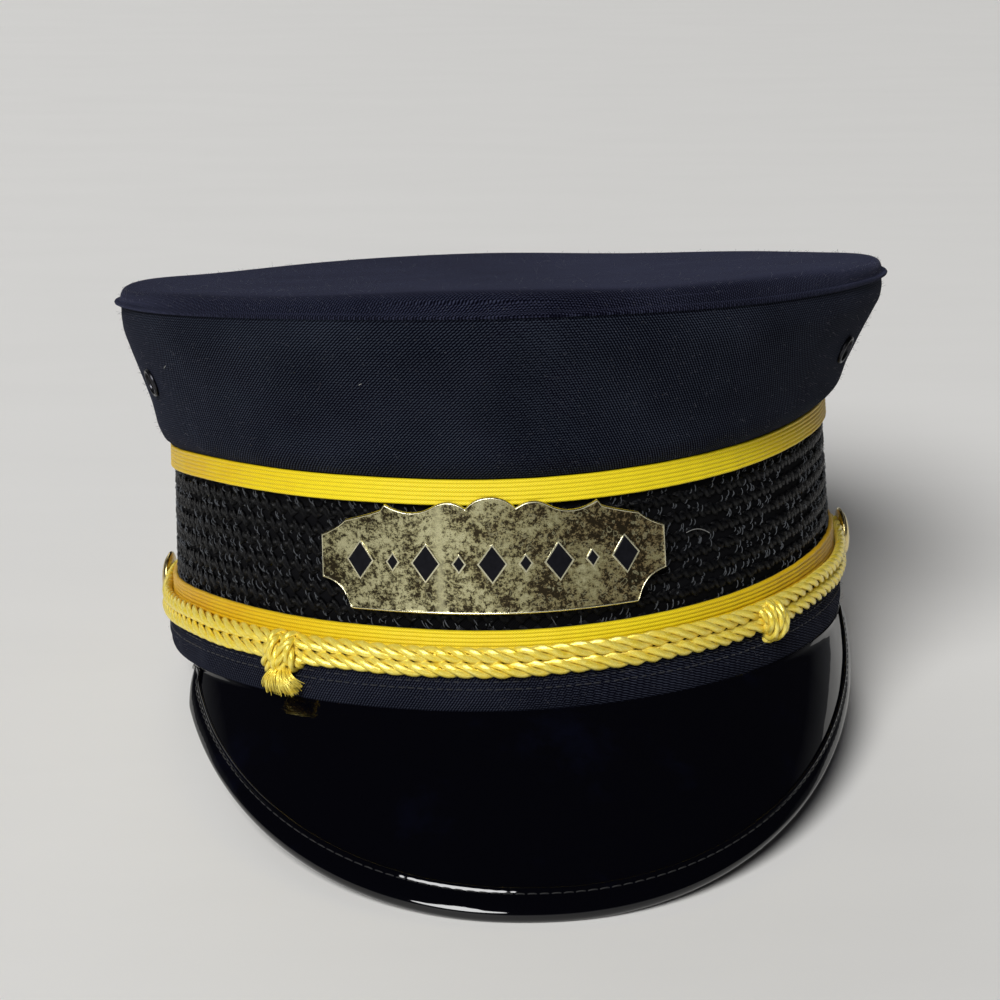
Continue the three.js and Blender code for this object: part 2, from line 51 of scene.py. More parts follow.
bandSet = {
    "halfWidth": 88, "halfLength": 104.3, "skew": 3.6, "flare": 2.3,
    "wall": 2.4, "edgeWall": 3, "edgeRoll": 0.9, "edgeHeight": 11.5, "wander": 6,
    "columns": 420, "stitchRows": [7.0, 5.2], "stitchOuts": [0.62, 0.97], "stitchPitch": 2.4,
    "thread": 0.17, "meanRadius": 96,
}
meanGirth = 2 * np.pi * bandSet["meanRadius"]
perDegree = np.pi * bandSet["meanRadius"] / 180  # the length of one degree round the band
trimSet = {
    "upperTop": 54, "lowerTop": 19.3, "width": 5.9, "thickness": 1.1, "cords": 6, "valley": 0.36,
    "rowsPerCord": 6, "columns": 460,
}
restSet = {"tilt": 9.35, "lean": 2.3, "pressedFlat": 0.8, "steps": 48}

# How the soft cap wavers, every 30 degrees round the head.
waverTable = {
    "trim": [-0.39, -0.08, 0.57, 0.98, 0.7, 0.25, 0, -0.05, -0.25, -0.41, -0.08, -0.21],
    "seam": [0, -0.5, 0.2, 0.5, -0.4, -1.4, -1.2, -0.8, -0.4, 0.6, 0.9, 0.9],
    "roll": [1, 1.05, 0.83, 0.62, 0.62, 0.6, 0.8, 0.77, 0.73, 0.73, 0.82, 0.93],
}


def waver(column, around):
    rows = np.array(waverTable[column])
    place = (np.asarray(around, float) % 360) / (360 / len(rows))
    row = np.floor(place).astype(int)
    t = place - row
    a, b, c, d = [rows[(row + k) % len(rows)] for k in (-1, 0, 1, 2)]
    return b + 0.5 * t * (c - a + t * (2 * a - 5 * b + 4 * c - d + t * (3 * (b - c) + d - a)))


def blendTo(x, low, high):
    t = np.clip((x - low) / (high - low), 0, 1)
    return t * t * (3 - 2 * t)


# A soft unevenness of about -1 to 1 that closes on itself round the head.
def uneven(around, up, seed, fewest, most, terms=9):
    source = np.random.default_rng(seed)
    total = 0
    for _ in range(terms):
        turns = source.integers(fewest, most)
        slope = source.uniform(-0.12, 0.12)
        phase = source.uniform(0, 2 * np.pi)
        total = total + np.sin(turns * np.radians(around) + slope * up + phase)
    return total / terms ** 0.5


def ovalPoint(halfWidth, halfLength, skew, around):
    x = halfWidth * np.sin(np.radians(around))
    y = -halfLength * np.cos(np.radians(around))
    turn = np.radians(skew)
    return x * np.cos(turn) - y * np.sin(turn), x * np.sin(turn) + y * np.cos(turn)


def bandPoint(around, out, up):
    around, out, up = np.broadcast_arrays(around, out, up)
    spread = out + bandSet["flare"] * (1 - up / trimSet["upperTop"])
    x, y = ovalPoint(bandSet["halfWidth"] + spread, bandSet["halfLength"] + spread, bandSet["skew"], around)
    follow = 0.5 + 0.5 * np.clip(up / trimSet["lowerTop"], 0, 1)
    return np.stack([x, y, up + follow * bandSet["wander"] * waver("trim", around)], -1)


# The rotation and lift with which the cap lies on its back edge and its peak.
def restingLean():
    tilt, lean = -np.radians(restSet["tilt"]), -np.radians(restSet["lean"])
    aboutX = np.array([[1, 0, 0], [0, np.cos(tilt), -np.sin(tilt)], [0, np.sin(tilt), np.cos(tilt)]])
    aboutY = np.array([[np.cos(lean), 0, np.sin(lean)], [0, 1, 0], [-np.sin(lean), 0, np.cos(lean)]])
    rotation = aboutX @ aboutY
    rim = bandPoint(np.arange(restSet["steps"]) * 360 / restSet["steps"], 0, 0) @ rotation.T
    return rotation, -rim[:, 2].min() - restSet["pressedFlat"]


leanRotation, leanLift = restingLean()


# Where the frame's origin lies, found from the upper braid, whose place is known in both.
def frameShift():
    angles = np.arange(restSet["steps"])[:, None] * 360 / restSet["steps"]
    corner = 0.3 * trimSet["thickness"]
    top, low = trimSet["upperTop"], trimSet["upperTop"] - trimSet["width"]
    outs = np.array([-trimSet["thickness"], -corner, 0, 0, -corner, -trimSet["thickness"]])
    ups = np.array([low, low, low + 2 * corner, top - 2 * corner, top, top])
    points = (bandPoint(angles, outs, ups) @ leanRotation.T).reshape(-1, 3)
    lowest = np.array(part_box("upper_braid")[0]) / metre
    return np.array([lowest[0] - points[:, 0].min(), lowest[1] - points[:, 1].min(), 0])


shift = frameShift()


def laid(points):
    return points @ leanRotation.T + np.array([0, 0, leanLift]) + shift


def outwardAt(around, out, up):
    side = bandPoint(around + 0.5, out, up) - bandPoint(around - 0.5, out, up)
    above = bandPoint(around, out, up + 0.5) - bandPoint(around, out, up - 0.5)
    normal = np.cross(side, above)
    return normal / np.linalg.norm(normal, axis=-1, keepdims=True)


# Places points given as (along the band, outwards, upwards) at one spot of the band.
def atBand(around, out, up, points):
    origin = bandPoint(around, out, up)
    normal = outwardAt(around, out, up)
    side = bandPoint(around + 0.5, out, up) - bandPoint(around - 0.5, out, up)
    side = side / np.linalg.norm(side)
    above = np.cross(normal, side)
    return laid(origin + points @ np.array([side, normal, above]))


def unit(vectors):
    return vectors / np.maximum(np.linalg.norm(vectors, axis=-1, keepdims=True), 1e-12)


def roundAngles(columns):
    return np.arange(columns) * 360 / columns - 180


def runningLength(points):
    return np.cumsum(np.r_[0, np.linalg.norm(np.diff(points, axis=0), axis=-1)])


def gridUv(u, v):
    return np.stack(np.meshgrid(u, v, indexing="ij"), -1)


# Mesh making: a shape gathers lofts and tubes, and becomes one object.
def newShape():
    return {"points": [], "faces": [], "uvs": [], "surfaces": [], "count": 0}


def addFaces(shape, points, faces, uvs, surface):
    shape["points"].append(points)
    shape["faces"] += (faces + shape["count"]).tolist()
    shape["uvs"].append(uvs.reshape(-1, 2))
    shape["surfaces"] += [surface] * len(faces)
    shape["count"] += len(points)


def insideOut(points, faces):
    a, b, c = points[faces[:, 0]], points[faces[:, 1]], points[faces[:, 2]]
    volume = np.einsum("ij,ij->i", a, np.cross(b, c)).sum()
    if faces.shape[1] == 4:
        volume += np.einsum("ij,ij->i", a, np.cross(c, points[faces[:, 3]])).sum()
    return volume < 0


# A skin over rings of points; uv has one more row and column where the skin closes on itself.
def addLoft(shape, rings, uv, closedAlong=False, surface=0):
    count, around = rings.shape[:2]
    points = rings.reshape(-1, 3)
    along = np.arange(count if closedAlong else count - 1)
    i, j = np.meshgrid(along, np.arange(around), indexing="ij")
    i, j = i.ravel(), j.ravel()
    nextI, nextJ = (i + 1) % count, (j + 1) % around
    faces = np.stack([i * around + j, nextI * around + j, nextI * around + nextJ, i * around + nextJ], -1)
    uvs = np.stack([uv[i, j], uv[i + 1, j], uv[i + 1, j + 1], uv[i, j + 1]], 1)
    flip = insideOut(points, faces)
    if flip:
        faces, uvs = faces[:, ::-1], uvs[:, ::-1]
    addFaces(shape, points, faces, uvs, surface)
    if closedAlong:
        return
    for row, backwards in ((0, flip), (count - 1, not flip)):
        ring = np.arange(around)[::-1] if backwards else np.arange(around)
        fan = np.stack([np.full(around - 2, ring[0]), ring[1:-1], ring[2:]], -1)
        addFaces(shape, rings[row], fan, uv[row][fan], surface)


# Thin round threads along paths of shape (threads, steps, 3), with capped ends.
def addTubes(shape, paths, radius, sides, outward=None, flat=1):
    paths = np.asarray(paths, float)
    count, steps = paths.shape[:2]
    tangent = unit(np.gradient(paths, axis=1))
    if outward is None:
        axis = np.eye(3)[np.abs(tangent[:, 0]).argmin(axis=-1)]
        outward = np.broadcast_to(axis[:, None], paths.shape)
    normal = unit(outward - tangent * np.sum(outward * tangent, -1, keepdims=True))
    binormal = np.cross(tangent, normal)
    turn = 2 * np.pi * np.arange(sides) / sides
    radius = np.broadcast_to(radius, (count, steps))[..., None, None]
    section = (np.cos(turn)[:, None] * normal[:, :, None] * flat
               + np.sin(turn)[:, None] * binormal[:, :, None])
    rings = paths[:, :, None] + radius * section
    length = np.cumsum(np.linalg.norm(np.diff(paths, axis=1, prepend=paths[:, :1]), axis=-1), axis=1)
    for k in range(count):
        girth = 2 * np.pi * float(radius[k].max())
        u = np.broadcast_to(length[k][:, None], (steps, sides + 1))
        v = np.broadcast_to(girth * np.arange(sides + 1) / sides, (steps, sides + 1))
        addLoft(shape, rings[k], np.stack([u, v], -1))


def addObject(name, data):
    added = bpy.data.objects.new(name, data)
    bpy.context.scene.collection.objects.link(added)
    return added


def makePiece(shape, name, finishes, replaced=()):
    mesh = bpy.data.meshes.new(name)
    points = np.concatenate(shape["points"]) * metre
    mesh.from_pydata(points.tolist(), [], shape["faces"])
    layer = mesh.uv_layers.new(name="UVMap")
    layer.data.foreach_set("uv", np.concatenate(shape["uvs"]).ravel())
    mesh.polygons.foreach_set("material_index", shape["surfaces"])
    mesh.polygons.foreach_set("use_smooth", [True] * len(mesh.polygons))
    for finish in finishes:
        mesh.materials.append(finish)
    mesh.update()
    piece = addObject(name, mesh)
    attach(piece, "root")
    if replaced:
        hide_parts(*replaced)
    triangles = sum(len(face) - 2 for face in shape["faces"])
    print("made", name, triangles, "triangles")
    return piece


# Materials. A finish is one node tree; its inputs are numbers, colours or other nodes' outputs.
def newFinish(name, **settings):
    finish = bpy.data.materials.new(name)
    finish.use_nodes = True
    tree = finish.node_tree
    shader = tree.nodes["Principled BSDF"]
    for key, value in settings.items():
        shader.inputs[key.replace("_", " ")].default_value = value
    return finish, tree, shader


def addNode(tree, kind, inputs, **settings):
    node = tree.nodes.new(kind)
    for key, value in settings.items():
        setattr(node, key, value)
    for key, value in inputs.items():
        if isinstance(value, bpy.types.NodeSocket):
            tree.links.new(value, node.inputs[key])
        else:
            node.inputs[key].default_value = value
    return node


def uvPlace(tree, turn=0, stretch=(1, 1)):
    source = addNode(tree, "ShaderNodeUVMap", {})
    mapping = addNode(tree, "ShaderNodeMapping", {
        "Vector": source.outputs["UV"], "Rotation": (0, 0, np.radians(turn)), "Scale": (*stretch, 1)})
    return mapping.outputs["Vector"]


def solidPlace(tree):
    return addNode(tree, "ShaderNodeTexCoord", {}).outputs["Object"]


# Ridges with the given spacing in the unit of the coordinates.
def ridges(tree, place, spacing, distortion=0.0):
    wave = addNode(tree, "ShaderNodeTexWave", {
        "Vector": place, "Scale": 0.314 / spacing, "Distortion": distortion,
        "Detail": 1.0, "Detail Scale": 1.5}, bands_direction="X")
    return wave.outputs["Fac"]


def noise(tree, place, size, detail=3.0, roughness=0.55):
    cloud = addNode(tree, "ShaderNodeTexNoise", {
        "Vector": place, "Scale": 1 / size, "Detail": detail, "Roughness": roughness})
    return cloud.outputs["Fac"]


def mathOf(tree, operation, *values):
    return addNode(tree, "ShaderNodeMath", dict(enumerate(values)), operation=operation).outputs[0]


def sumOf(tree, *terms):
    total = 0.0
    for socket, weight in terms:
        total = mathOf(tree, "MULTIPLY_ADD", socket, weight, total)
    return total


def partOf(tree, vector, axis):
    return addNode(tree, "ShaderNodeSeparateXYZ", {"Vector": vector}).outputs[axis]


def spread(tree, value, low, high, toLow=0.0, toHigh=1.0):
    node = addNode(tree, "ShaderNodeMapRange", {
        "Value": value, "From Min": low, "From Max": high, "To Min": toLow, "To Max": toHigh})
    return node.outputs["Result"]


def colourMix(tree, amount, first, second):
    node = addNode(tree, "ShaderNodeMix", {"Factor": amount}, data_type="RGBA")
    for socket, value in ((node.inputs[6], first), (node.inputs[7], second)):
        if isinstance(value, bpy.types.NodeSocket):
            tree.links.new(value, socket)
        else:
            socket.default_value = (*value, 1)
    return node.outputs[2]


def giveColour(tree, shader, colour, roughness=None):
    tree.links.new(colour, shader.inputs["Base Color"])
    if roughness:
        tree.links.new(roughness, shader.inputs["Roughness"])


def giveBump(tree, shader, height, depth, strength=1.0):
    bump = addNode(tree, "ShaderNodeBump", {
        "Height": height, "Distance": depth * metre, "Strength": strength})
    tree.links.new(bump.outputs["Normal"], shader.inputs["Normal"])


clothSet = {
    "dark": (0.0001, 0.0002, 0.0026), "light": (0.0340, 0.0415, 0.0600), "lint": (0.09, 0.09, 0.11),
    "twill": 0.62, "leftTurn": 48, "rightTurn": -30, "ridge": 0.2,
}


# Navy wool twill; its diagonal rises to the right on the left half and falls on the right half.
def navyTwill(name, leftTurn, rightTurn, tint=(1, 1, 1), sheen=0.022):
    finish, tree, shader = newFinish(
        name, Roughness=0.95, Sheen_Weight=sheen, Sheen_Roughness=0.4,
        Sheen_Tint=(0.5, 0.55, 1, 1), Specular_IOR_Level=0.05)
    plain = uvPlace(tree)
    sides = spread(tree, partOf(tree, plain, "X"), -14, 22)
    left = ridges(tree, uvPlace(tree, leftTurn), clothSet["twill"], 1.0)
    right = ridges(tree, uvPlace(tree, rightTurn), clothSet["twill"], 1.0)
    twill = addNode(tree, "ShaderNodeMix", {"Factor": sides, 2: left, 3: right}).outputs[0]
    yarn = ridges(tree, uvPlace(tree, 90), 0.62, 2.0)
    fuzz = noise(tree, plain, 0.35, 4, 0.7)
    broad = noise(tree, plain, 22, 3)
    height = sumOf(tree, (twill, 0.62), (yarn, 0.22), (fuzz, 0.35))
    tone = sumOf(tree, (twill, 0.5), (yarn, 0.3), (fuzz, 0.6), (broad, 0.3))
    light = tuple(np.multiply(tint, clothSet["light"]))
    dark = tuple(np.multiply(tint, clothSet["dark"]))
    base = colourMix(tree, spread(tree, tone, 0.78, 1.25), dark, light)
    specks = spread(tree, noise(tree, plain, 0.9, 2, 0.6), 0.735, 0.79)
    giveColour(tree, shader, colourMix(tree, specks, base, clothSet["lint"]))
    giveBump(tree, shader, height, clothSet["ridge"], 0.8)
    return finish


braidSet = {"bright": (0.93, 0.75, 0.012), "orangeToneAndShade": (0.76, 0.40, 0.004), "shadeOlive": (0.36, 0.24, 0.008)}


# Flat braid of fine cords, more orange away from the front: painted shade where the braid turns from the
# light, mixed with random orange tone.
def yellowBraid(name, orange):
    finish, tree, shader = newFinish(
        name, Roughness=0.42, Sheen_Weight=0.06, Sheen_Roughness=0.35,
        Sheen_Tint=(1, 0.85, 0.35, 1), Specular_IOR_Level=0.3)
    place = uvPlace(tree)
    thread = ridges(tree, uvPlace(tree, 58), 0.36, 0.8)
    cross = ridges(tree, uvPlace(tree, -58), 0.36, 0.8)
    cloud = noise(tree, place, 14, 3)
    grain = noise(tree, place, 0.5, 3)
    # Painted shade: the braid turns orange from 25 to 105 mm away from the front.
    turned = spread(tree, mathOf(tree, "ABSOLUTE", partOf(tree, place, "X")), 25, 105)
    orangeToneAndShade = sumOf(tree, (turned, 0.75), (cloud, 0.5), (grain, 0.35), (cross, 0.12))
    base = colourMix(tree, spread(tree, orangeToneAndShade, orange, orange + 0.85), braidSet["bright"], braidSet["orangeToneAndShade"])
    # Painted shade: olive where the threads dip, in the weave's grooves.
    grooveShade = spread(tree, sumOf(tree, (thread, 0.5), (cross, 0.5)), 0.1, 0.55)
    giveColour(tree, shader, colourMix(tree, grooveShade, braidSet["shadeOlive"], base))
    giveBump(tree, shader, sumOf(tree, (thread, 0.5), (cross, 0.5), (grain, 0.3)), 0.07, 0.8)
    return finish


cordColours = {"pale": (1.0, 0.93, 0.26), "gold": (1.0, 0.76, 0.02), "shadeAmber": (0.58, 0.33, 0.004)}


# Shiny plied cord: fine filaments run along each ply.
def goldCord(name):
    finish, tree, shader = newFinish(
        name, Metallic=0.35, Roughness=0.2, Sheen_Weight=0.06, Sheen_Roughness=0.3,
        Sheen_Tint=(1, 0.95, 0.5, 1), Specular_IOR_Level=0.7)
    place = uvPlace(tree)
    filaments = ridges(tree, uvPlace(tree, 68), 0.24, 1.2)
    tone = noise(tree, place, 3.0, 3)
    fine = noise(tree, uvPlace(tree, 0, (0.35, 1)), 0.3, 3)
    base = colourMix(tree, spread(tree, sumOf(tree, (tone, 0.7), (fine, 0.5)), 0.4, 0.8),
                     cordColours["gold"], cordColours["pale"])
    # Painted shade: amber in the grooves between the filaments.
    grooveShade = spread(tree, sumOf(tree, (filaments, 0.6), (fine, 0.6)), 0.22, 0.6)
    giveColour(tree, shader, colourMix(tree, grooveShade, cordColours["shadeAmber"], base))
    giveBump(tree, shader, sumOf(tree, (filaments, 0.7), (fine, 0.5)), 0.05, 0.5)
    return finish


def blackYarn(name):
    finish, tree, shader = newFinish(
        name, Roughness=0.35, Sheen_Weight=0.0, Specular_IOR_Level=0.15)
    place = uvPlace(tree)
    twist = ridges(tree, uvPlace(tree, 50), 0.42, 1.0)
    tone = noise(tree, place, 1.6, 3)
    # Painted highlight: the yarn turns lighter and bluer in patches along its twist's crests.
    twistGlints = spread(tree, sumOf(tree, (twist, 0.45), (tone, 0.9)), 0.84, 1.05)
    colour = colourMix(tree, twistGlints, (0.0003, 0.0003, 0.0006), (0.0072, 0.0082, 0.0115))
    giveColour(tree, shader, colour, spread(tree, tone, 0.3, 0.7, 0.2, 0.45))
    giveBump(tree, shader, sumOf(tree, (twist, 0.8), (tone, 0.3)), 0.12)
    return finish


def blackBacking(name):
    finish, tree, shader = newFinish(name, Roughness=0.95, Specular_IOR_Level=0.1)
    weave = ridges(tree, uvPlace(tree, 45), 0.5, 0.5)
    colour = colourMix(tree, weave, (0.0012, 0.0012, 0.0016), (0.0035, 0.0035, 0.0045))
    giveColour(tree, shader, colour)
    giveBump(tree, shader, weave, 0.1)
    return finish


# Patent leather: a near mirror, with faint waves and fine dust.
def patentLeather(name):
    finish, tree, shader = newFinish(name, Roughness=0.04, Specular_IOR_Level=0.5, Coat_Weight=0.0)
    place = solidPlace(tree)
    waves = noise(tree, place, 0.016, 2, 0.4)
    dust = spread(tree, noise(tree, place, 0.0012, 3, 0.7), 0.72, 0.8)
    smudge = spread(tree, noise(tree, place, 0.028, 5, 0.7), 0.56, 0.72)
    colour = colourMix(tree, dust, (0.0007, 0.0007, 0.0016), (0.004, 0.004, 0.005))
    colour = colourMix(tree, smudge, colour, (0.0012, 0.0015, 0.0045))
    worn = sumOf(tree, (dust, 0.1), (smudge, 0.05))
    giveColour(tree, shader, colour, spread(tree, worn, 0, 0.15, 0.035, 0.18))
    giveBump(tree, shader, waves, 0.35, 0.5)
    return finish


def undersideLeather(name):
    finish, tree, shader = newFinish(name, Roughness=0.6, Specular_IOR_Level=0.35)
    cells = addNode(tree, "ShaderNodeTexVoronoi", {"Vector": solidPlace(tree), "Scale": 1100.0})
    cloud = noise(tree, solidPlace(tree), 0.02)
    giveColour(tree, shader, colourMix(tree, cloud, (0.006, 0.007, 0.006), (0.014, 0.016, 0.014)))
    giveBump(tree, shader, cells.outputs["Distance"], 0.12)
    return finish


plateColours = {
    "pale": (0.62, 0.585, 0.34), "straw": (0.38, 0.34, 0.165), "brown": (0.31, 0.215, 0.10),
    "black": (0.028, 0.021, 0.010),
}
plateMarkSet = {"ring": 0.76, "streak": 9.4, "warp": (3.2, 3.2, 0.0), "ringScale": 0.62}


# Thin brass sheet with spotted tarnish: pale on the left and in the middle, browner on the right. A pale band
# also runs down a little left of the middle.
def tarnishedBrass(name):
    finish, tree, shader = newFinish(name, Metallic=0.9, Roughness=0.3, Specular_IOR_Level=0.5)
    place = uvPlace(tree)
    across = partOf(tree, place, "X")
    browner = spread(tree, across, -12, 34)
    patches = noise(tree, place, 9, 4, 0.6)
    blotches = noise(tree, place, 1.4, 5, 0.75)
    fine = noise(tree, place, 0.5, 4, 0.8)
    warp = addNode(tree, "ShaderNodeTexNoise", {"Vector": place, "Scale": 0.5, "Detail": 3.0})
    warped = addNode(tree, "ShaderNodeVectorMath", {
        0: warp.outputs["Color"], 1: plateMarkSet["warp"], 2: place}, operation="MULTIPLY_ADD")
    spots = addNode(tree, "ShaderNodeTexVoronoi", {
        "Vector": warped.outputs["Vector"], "Scale": plateMarkSet["ringScale"], "Randomness": 1.0})
    fromRing = sumOf(tree, (spots.outputs["Distance"], 1.0), (fine, 0.35), (patches, 0.5))
    fromRing = mathOf(tree, "ABSOLUTE", mathOf(tree, "SUBTRACT", fromRing, plateMarkSet["ring"]))
    # A pale band down the plate, 9.4 mm left of the middle, wavering with the blotches.
    streak = sumOf(tree, (across, 1.0), (blotches, 5.0))
    besideStreak = mathOf(tree, "ABSOLUTE", mathOf(tree, "ADD", streak, plateMarkSet["streak"]))
    age = sumOf(tree, (browner, 0.16), (patches, 0.8), (blotches, 0.65))
    base = colourMix(tree, spread(tree, age, 0.62, 0.76), plateColours["pale"], plateColours["straw"])
    base = colourMix(tree, spread(tree, age, 0.76, 0.92), base, plateColours["brown"])
    pitted = sumOf(tree, (browner, 0.012), (patches, 0.45), (blotches, 0.6), (fine, 0.45))
    base = colourMix(tree, spread(tree, pitted, 0.715, 0.785), base, plateColours["black"])
    ringLines = mathOf(
        tree, "MULTIPLY", spread(tree, fromRing, 0.02, 0.09, 1, 0), spread(tree, age, 0.66, 0.9, 0, 0.5))
    base = colourMix(tree, ringLines, base, plateColours["pale"])
    base = colourMix(tree, spread(tree, besideStreak, 0.3, 1.6, 0.55, 0), base, plateColours["pale"])
    giveColour(tree, shader, base, spread(tree, pitted, 0.6, 0.95, 0.2, 0.6))
    giveBump(tree, shader, sumOf(tree, (blotches, 0.5), (fine, 0.5)), 0.05, 0.4)
    return finish


def polishedBrass(name, colour, roughness=0.22):
    finish, tree, shader = newFinish(name, Metallic=1.0, Roughness=roughness)
    wear = noise(tree, solidPlace(tree), 0.002, 4, 0.7)
    dull = tuple(0.35 * c for c in colour)
    giveColour(tree, shader, colourMix(tree, spread(tree, wear, 0.45, 0.8), colour, dull),
               spread(tree, wear, 0.3, 0.8, roughness - 0.08, roughness + 0.2))
    giveBump(tree, shader, wear, 0.04, 0.4)
    return finish


def blackEnamel(name):
    finish, tree, shader = newFinish(name, Roughness=0.25, Specular_IOR_Level=0.08)
    pores = noise(tree, solidPlace(tree), 0.0012, 3)
    giveColour(tree, shader, colourMix(tree, pores, (0.002, 0.002, 0.003), (0.009, 0.009, 0.012)))
    giveBump(tree, shader, pores, 0.03, 0.5)
    return finish


def plainThread(name, colour, sheen=0.2):
    finish, tree, shader = newFinish(name, Roughness=0.6, Sheen_Weight=sheen)
    twist = ridges(tree, uvPlace(tree, 40), 0.25)
    dark = tuple(0.5 * c for c in colour)
    giveColour(tree, shader, colourMix(tree, twist, dark, colour))
    giveBump(tree, shader, twist, 0.05)
    return finish


sideCloth = navyTwill("navy twill side", clothSet["leftTurn"], clothSet["rightTurn"])
topCloth = navyTwill(
    "navy twill top", clothSet["leftTurn"], clothSet["rightTurn"], (1.0, 0.9, 1.1), sheen=0.075)
# Band strip twill tinted more purple and darker: the purple is its hue, the darkening is painted shade.
shadedStripCloth = navyTwill("navy twill strip shaded darker", 35, -70, (0.9, 0.84, 0.88))
upperFinish = yellowBraid("yellow braid upper", 0.78)
lowerFinish = yellowBraid("yellow braid lower", 0.45)
cordFinish = goldCord("gold cord")
fibreFinish = goldCord("gold fibre")
yarnFinish = blackYarn("black mesh yarn")
# Pale grey thread that paints the glints of the glossy black yarn.
glintFinish = plainThread("mesh painted glint", (0.095, 0.105, 0.12), 0.1)
backingFinish = blackBacking("black backing")
patentFinish = patentLeather("black patent leather")
undersideFinish = undersideLeather("peak underside")
plateFinish = tarnishedBrass("tarnished brass")
rimPolishAndHighlight = polishedBrass("bright brass rim polish and painted highlight", (0.93, 0.88, 0.60))
buttonFinish = polishedBrass("button brass", (0.80, 0.66, 0.30), 0.2)
ventFinish = polishedBrass("vent metal", (0.035, 0.035, 0.04), 0.3)
enamelFinish = blackEnamel("black enamel")
darkThread = plainThread("navy thread", (0.010, 0.011, 0.018), 0.06)
blackThread = plainThread("black thread", (0.007, 0.007, 0.008), 0.02)
lintFinish = plainThread("lint", (0.055, 0.055, 0.085))
paleLint = plainThread("pale lint", (0.42, 0.42, 0.40))
print("finishes ready")


# Rings of a band section carried round the head; the uv is in millimetres from the front.
def bandRings(outs, ups, columns, shape, swell=None, surface=0, floor=False):
    around = roundAngles(columns)[:, None]
    outs, ups = np.asarray(outs, float)[None], np.asarray(ups, float)[None]
    if swell is not None:
        outs = outs + swell(around, ups)
    rings = laid(bandPoint(around, outs, ups))
    if floor:
        rings[..., 2] = np.maximum(rings[..., 2], 0)
    u = meanGirth * (np.arange(columns + 1) / columns - 0.5)
    section = np.stack([np.append(outs[0], outs[0, :1]), np.append(ups[0], ups[0, :1])], -1)
    addLoft(shape, rings, gridUv(u, runningLength(section)), closedAlong=True, surface=surface)


# Adds points between the corners of a section so that its bends are round.
def rounded(corners, steps):
    corners = np.asarray(corners, float)
    before, after = np.roll(corners, 1, 0), np.roll(corners, -1, 0)
    beyond = np.roll(corners, -2, 0)
    t = (np.arange(steps) / steps)[:, None, None]
    curve = 0.5 * (
        2 * corners + t * (after - before) + t ** 2 * (2 * before - 5 * corners + 4 * after - beyond)
        + t ** 3 * (3 * (corners - after) + beyond - before))
    return curve.transpose(1, 0, 2).reshape(-1, 2)


meshOut = -(trimSet["thickness"] + fit)
meshSet = {
    "thickness": 1, "lap": 4, "rows": 8, "holesRound": 152, "strand": 0.86, "swing": 1.5, "flat": 0.5,
    "twistLead": 3.95, "stepsPerHole": 6, "hidden": 1.2, "plyApart": 0.66, "backColumns": 240,
    "glintShare": 0.72, "glintThreads": 3, "glintRadius": 0.078,
}
wallOut = meshOut - meshSet["thickness"] - fit


def makeHeadBand():
    height, roll = bandSet["edgeHeight"], bandSet["edgeRoll"]
    inner, edgeInner = wallOut - bandSet["wall"], roll - bandSet["edgeWall"]
    upperEnd = trimSet["upperTop"] + fit
    corners = [
        [edgeInner, -fit], [0, -2 * fit], [0.75 * roll, 0.07 * height], [roll, 0.2 * height],
        [roll, 0.42 * height], [0.8 * roll, 0.62 * height], [0, 0.85 * height], [wallOut, height],
        [wallOut, 0.6 * upperEnd], [wallOut, upperEnd], [inner, upperEnd], [inner, 0.6 * upperEnd],
        [inner, height - bandSet["wall"]], [edgeInner, height - 2 * bandSet["wall"]],
    ]
    section = rounded(corners, 4)
    shape = newShape()

    def softSwell(around, ups):
        edge = (1 - blendTo(ups, 9, 12)) * blendTo(ups, 0, 2)
        return 0.14 * edge * uneven(around, ups, 3, 20, 70)

    bandRings(section[:, 0], section[:, 1], bandSet["columns"], shape, softSwell, floor=True)
    makePiece(shape, "band_cloth", [shadedStripCloth], ["head_band"])


# Stitches as short threads that dip into the cloth at both ends.
def stitchPaths(around, out, up, length, sink=0.25, lift=0.16):
    share = np.linspace(-1, 1, 5)
    angles = around[:, None] + share * 0.5 * length / perDegree
    outs = out + lift - (lift + sink) * share ** 4
    return laid(bandPoint(angles, outs, up))


def makeBandStitches():
    shape = newShape()
    around = roundAngles(int(meanGirth / bandSet["stitchPitch"]))
    for k, (up, share) in enumerate(zip(bandSet["stitchRows"], bandSet["stitchOuts"])):
        length = 0.72 * bandSet["stitchPitch"]
        paths = stitchPaths(around + 0.4 * k, bandSet["edgeRoll"] * share, up, length)
        addTubes(shape, paths, bandSet["thread"], 5)
    footUp = trimSet["upperTop"] + fit + 1.3
    paths = stitchPaths(around, 0.05, footUp, 0.7 * bandSet["stitchPitch"])
    addTubes(shape, paths, bandSet["thread"], 5)
    makePiece(shape, "band_stitches", [darkThread])


def makeBraid(name, top, node, finish):
    count = trimSet["cords"]
    share = np.linspace(0, 1, count * trimSet["rowsPerCord"] + 1)
    crest = np.abs(np.sin(np.pi * count * share)) ** 0.6
    outs = -trimSet["valley"] * (1 - crest)
    outs[[0, -1]] = -trimSet["valley"] - 0.2
    ups = top - trimSet["width"] * (1 - share)
    outs = np.r_[-trimSet["thickness"], outs, -trimSet["thickness"]]
    ups = np.r_[ups[0], ups, ups[-1]]
    shape = newShape()
    bandRings(outs, ups, trimSet["columns"], shape, lambda around, up: 0.05 * uneven(around, up, 11, 30, 110))
    makePiece(shape, name, [finish], [node])


# The open black band: cords that swing towards one neighbour and then the other, so that eyes
# open between them in staggered rows, in front of a black backing.
def meshRows():
    low = trimSet["lowerTop"] - meshSet["hidden"]
    high = trimSet["upperTop"] - trimSet["width"] + meshSet["hidden"]
    return low, (high - low) / (meshSet["rows"] - 1)


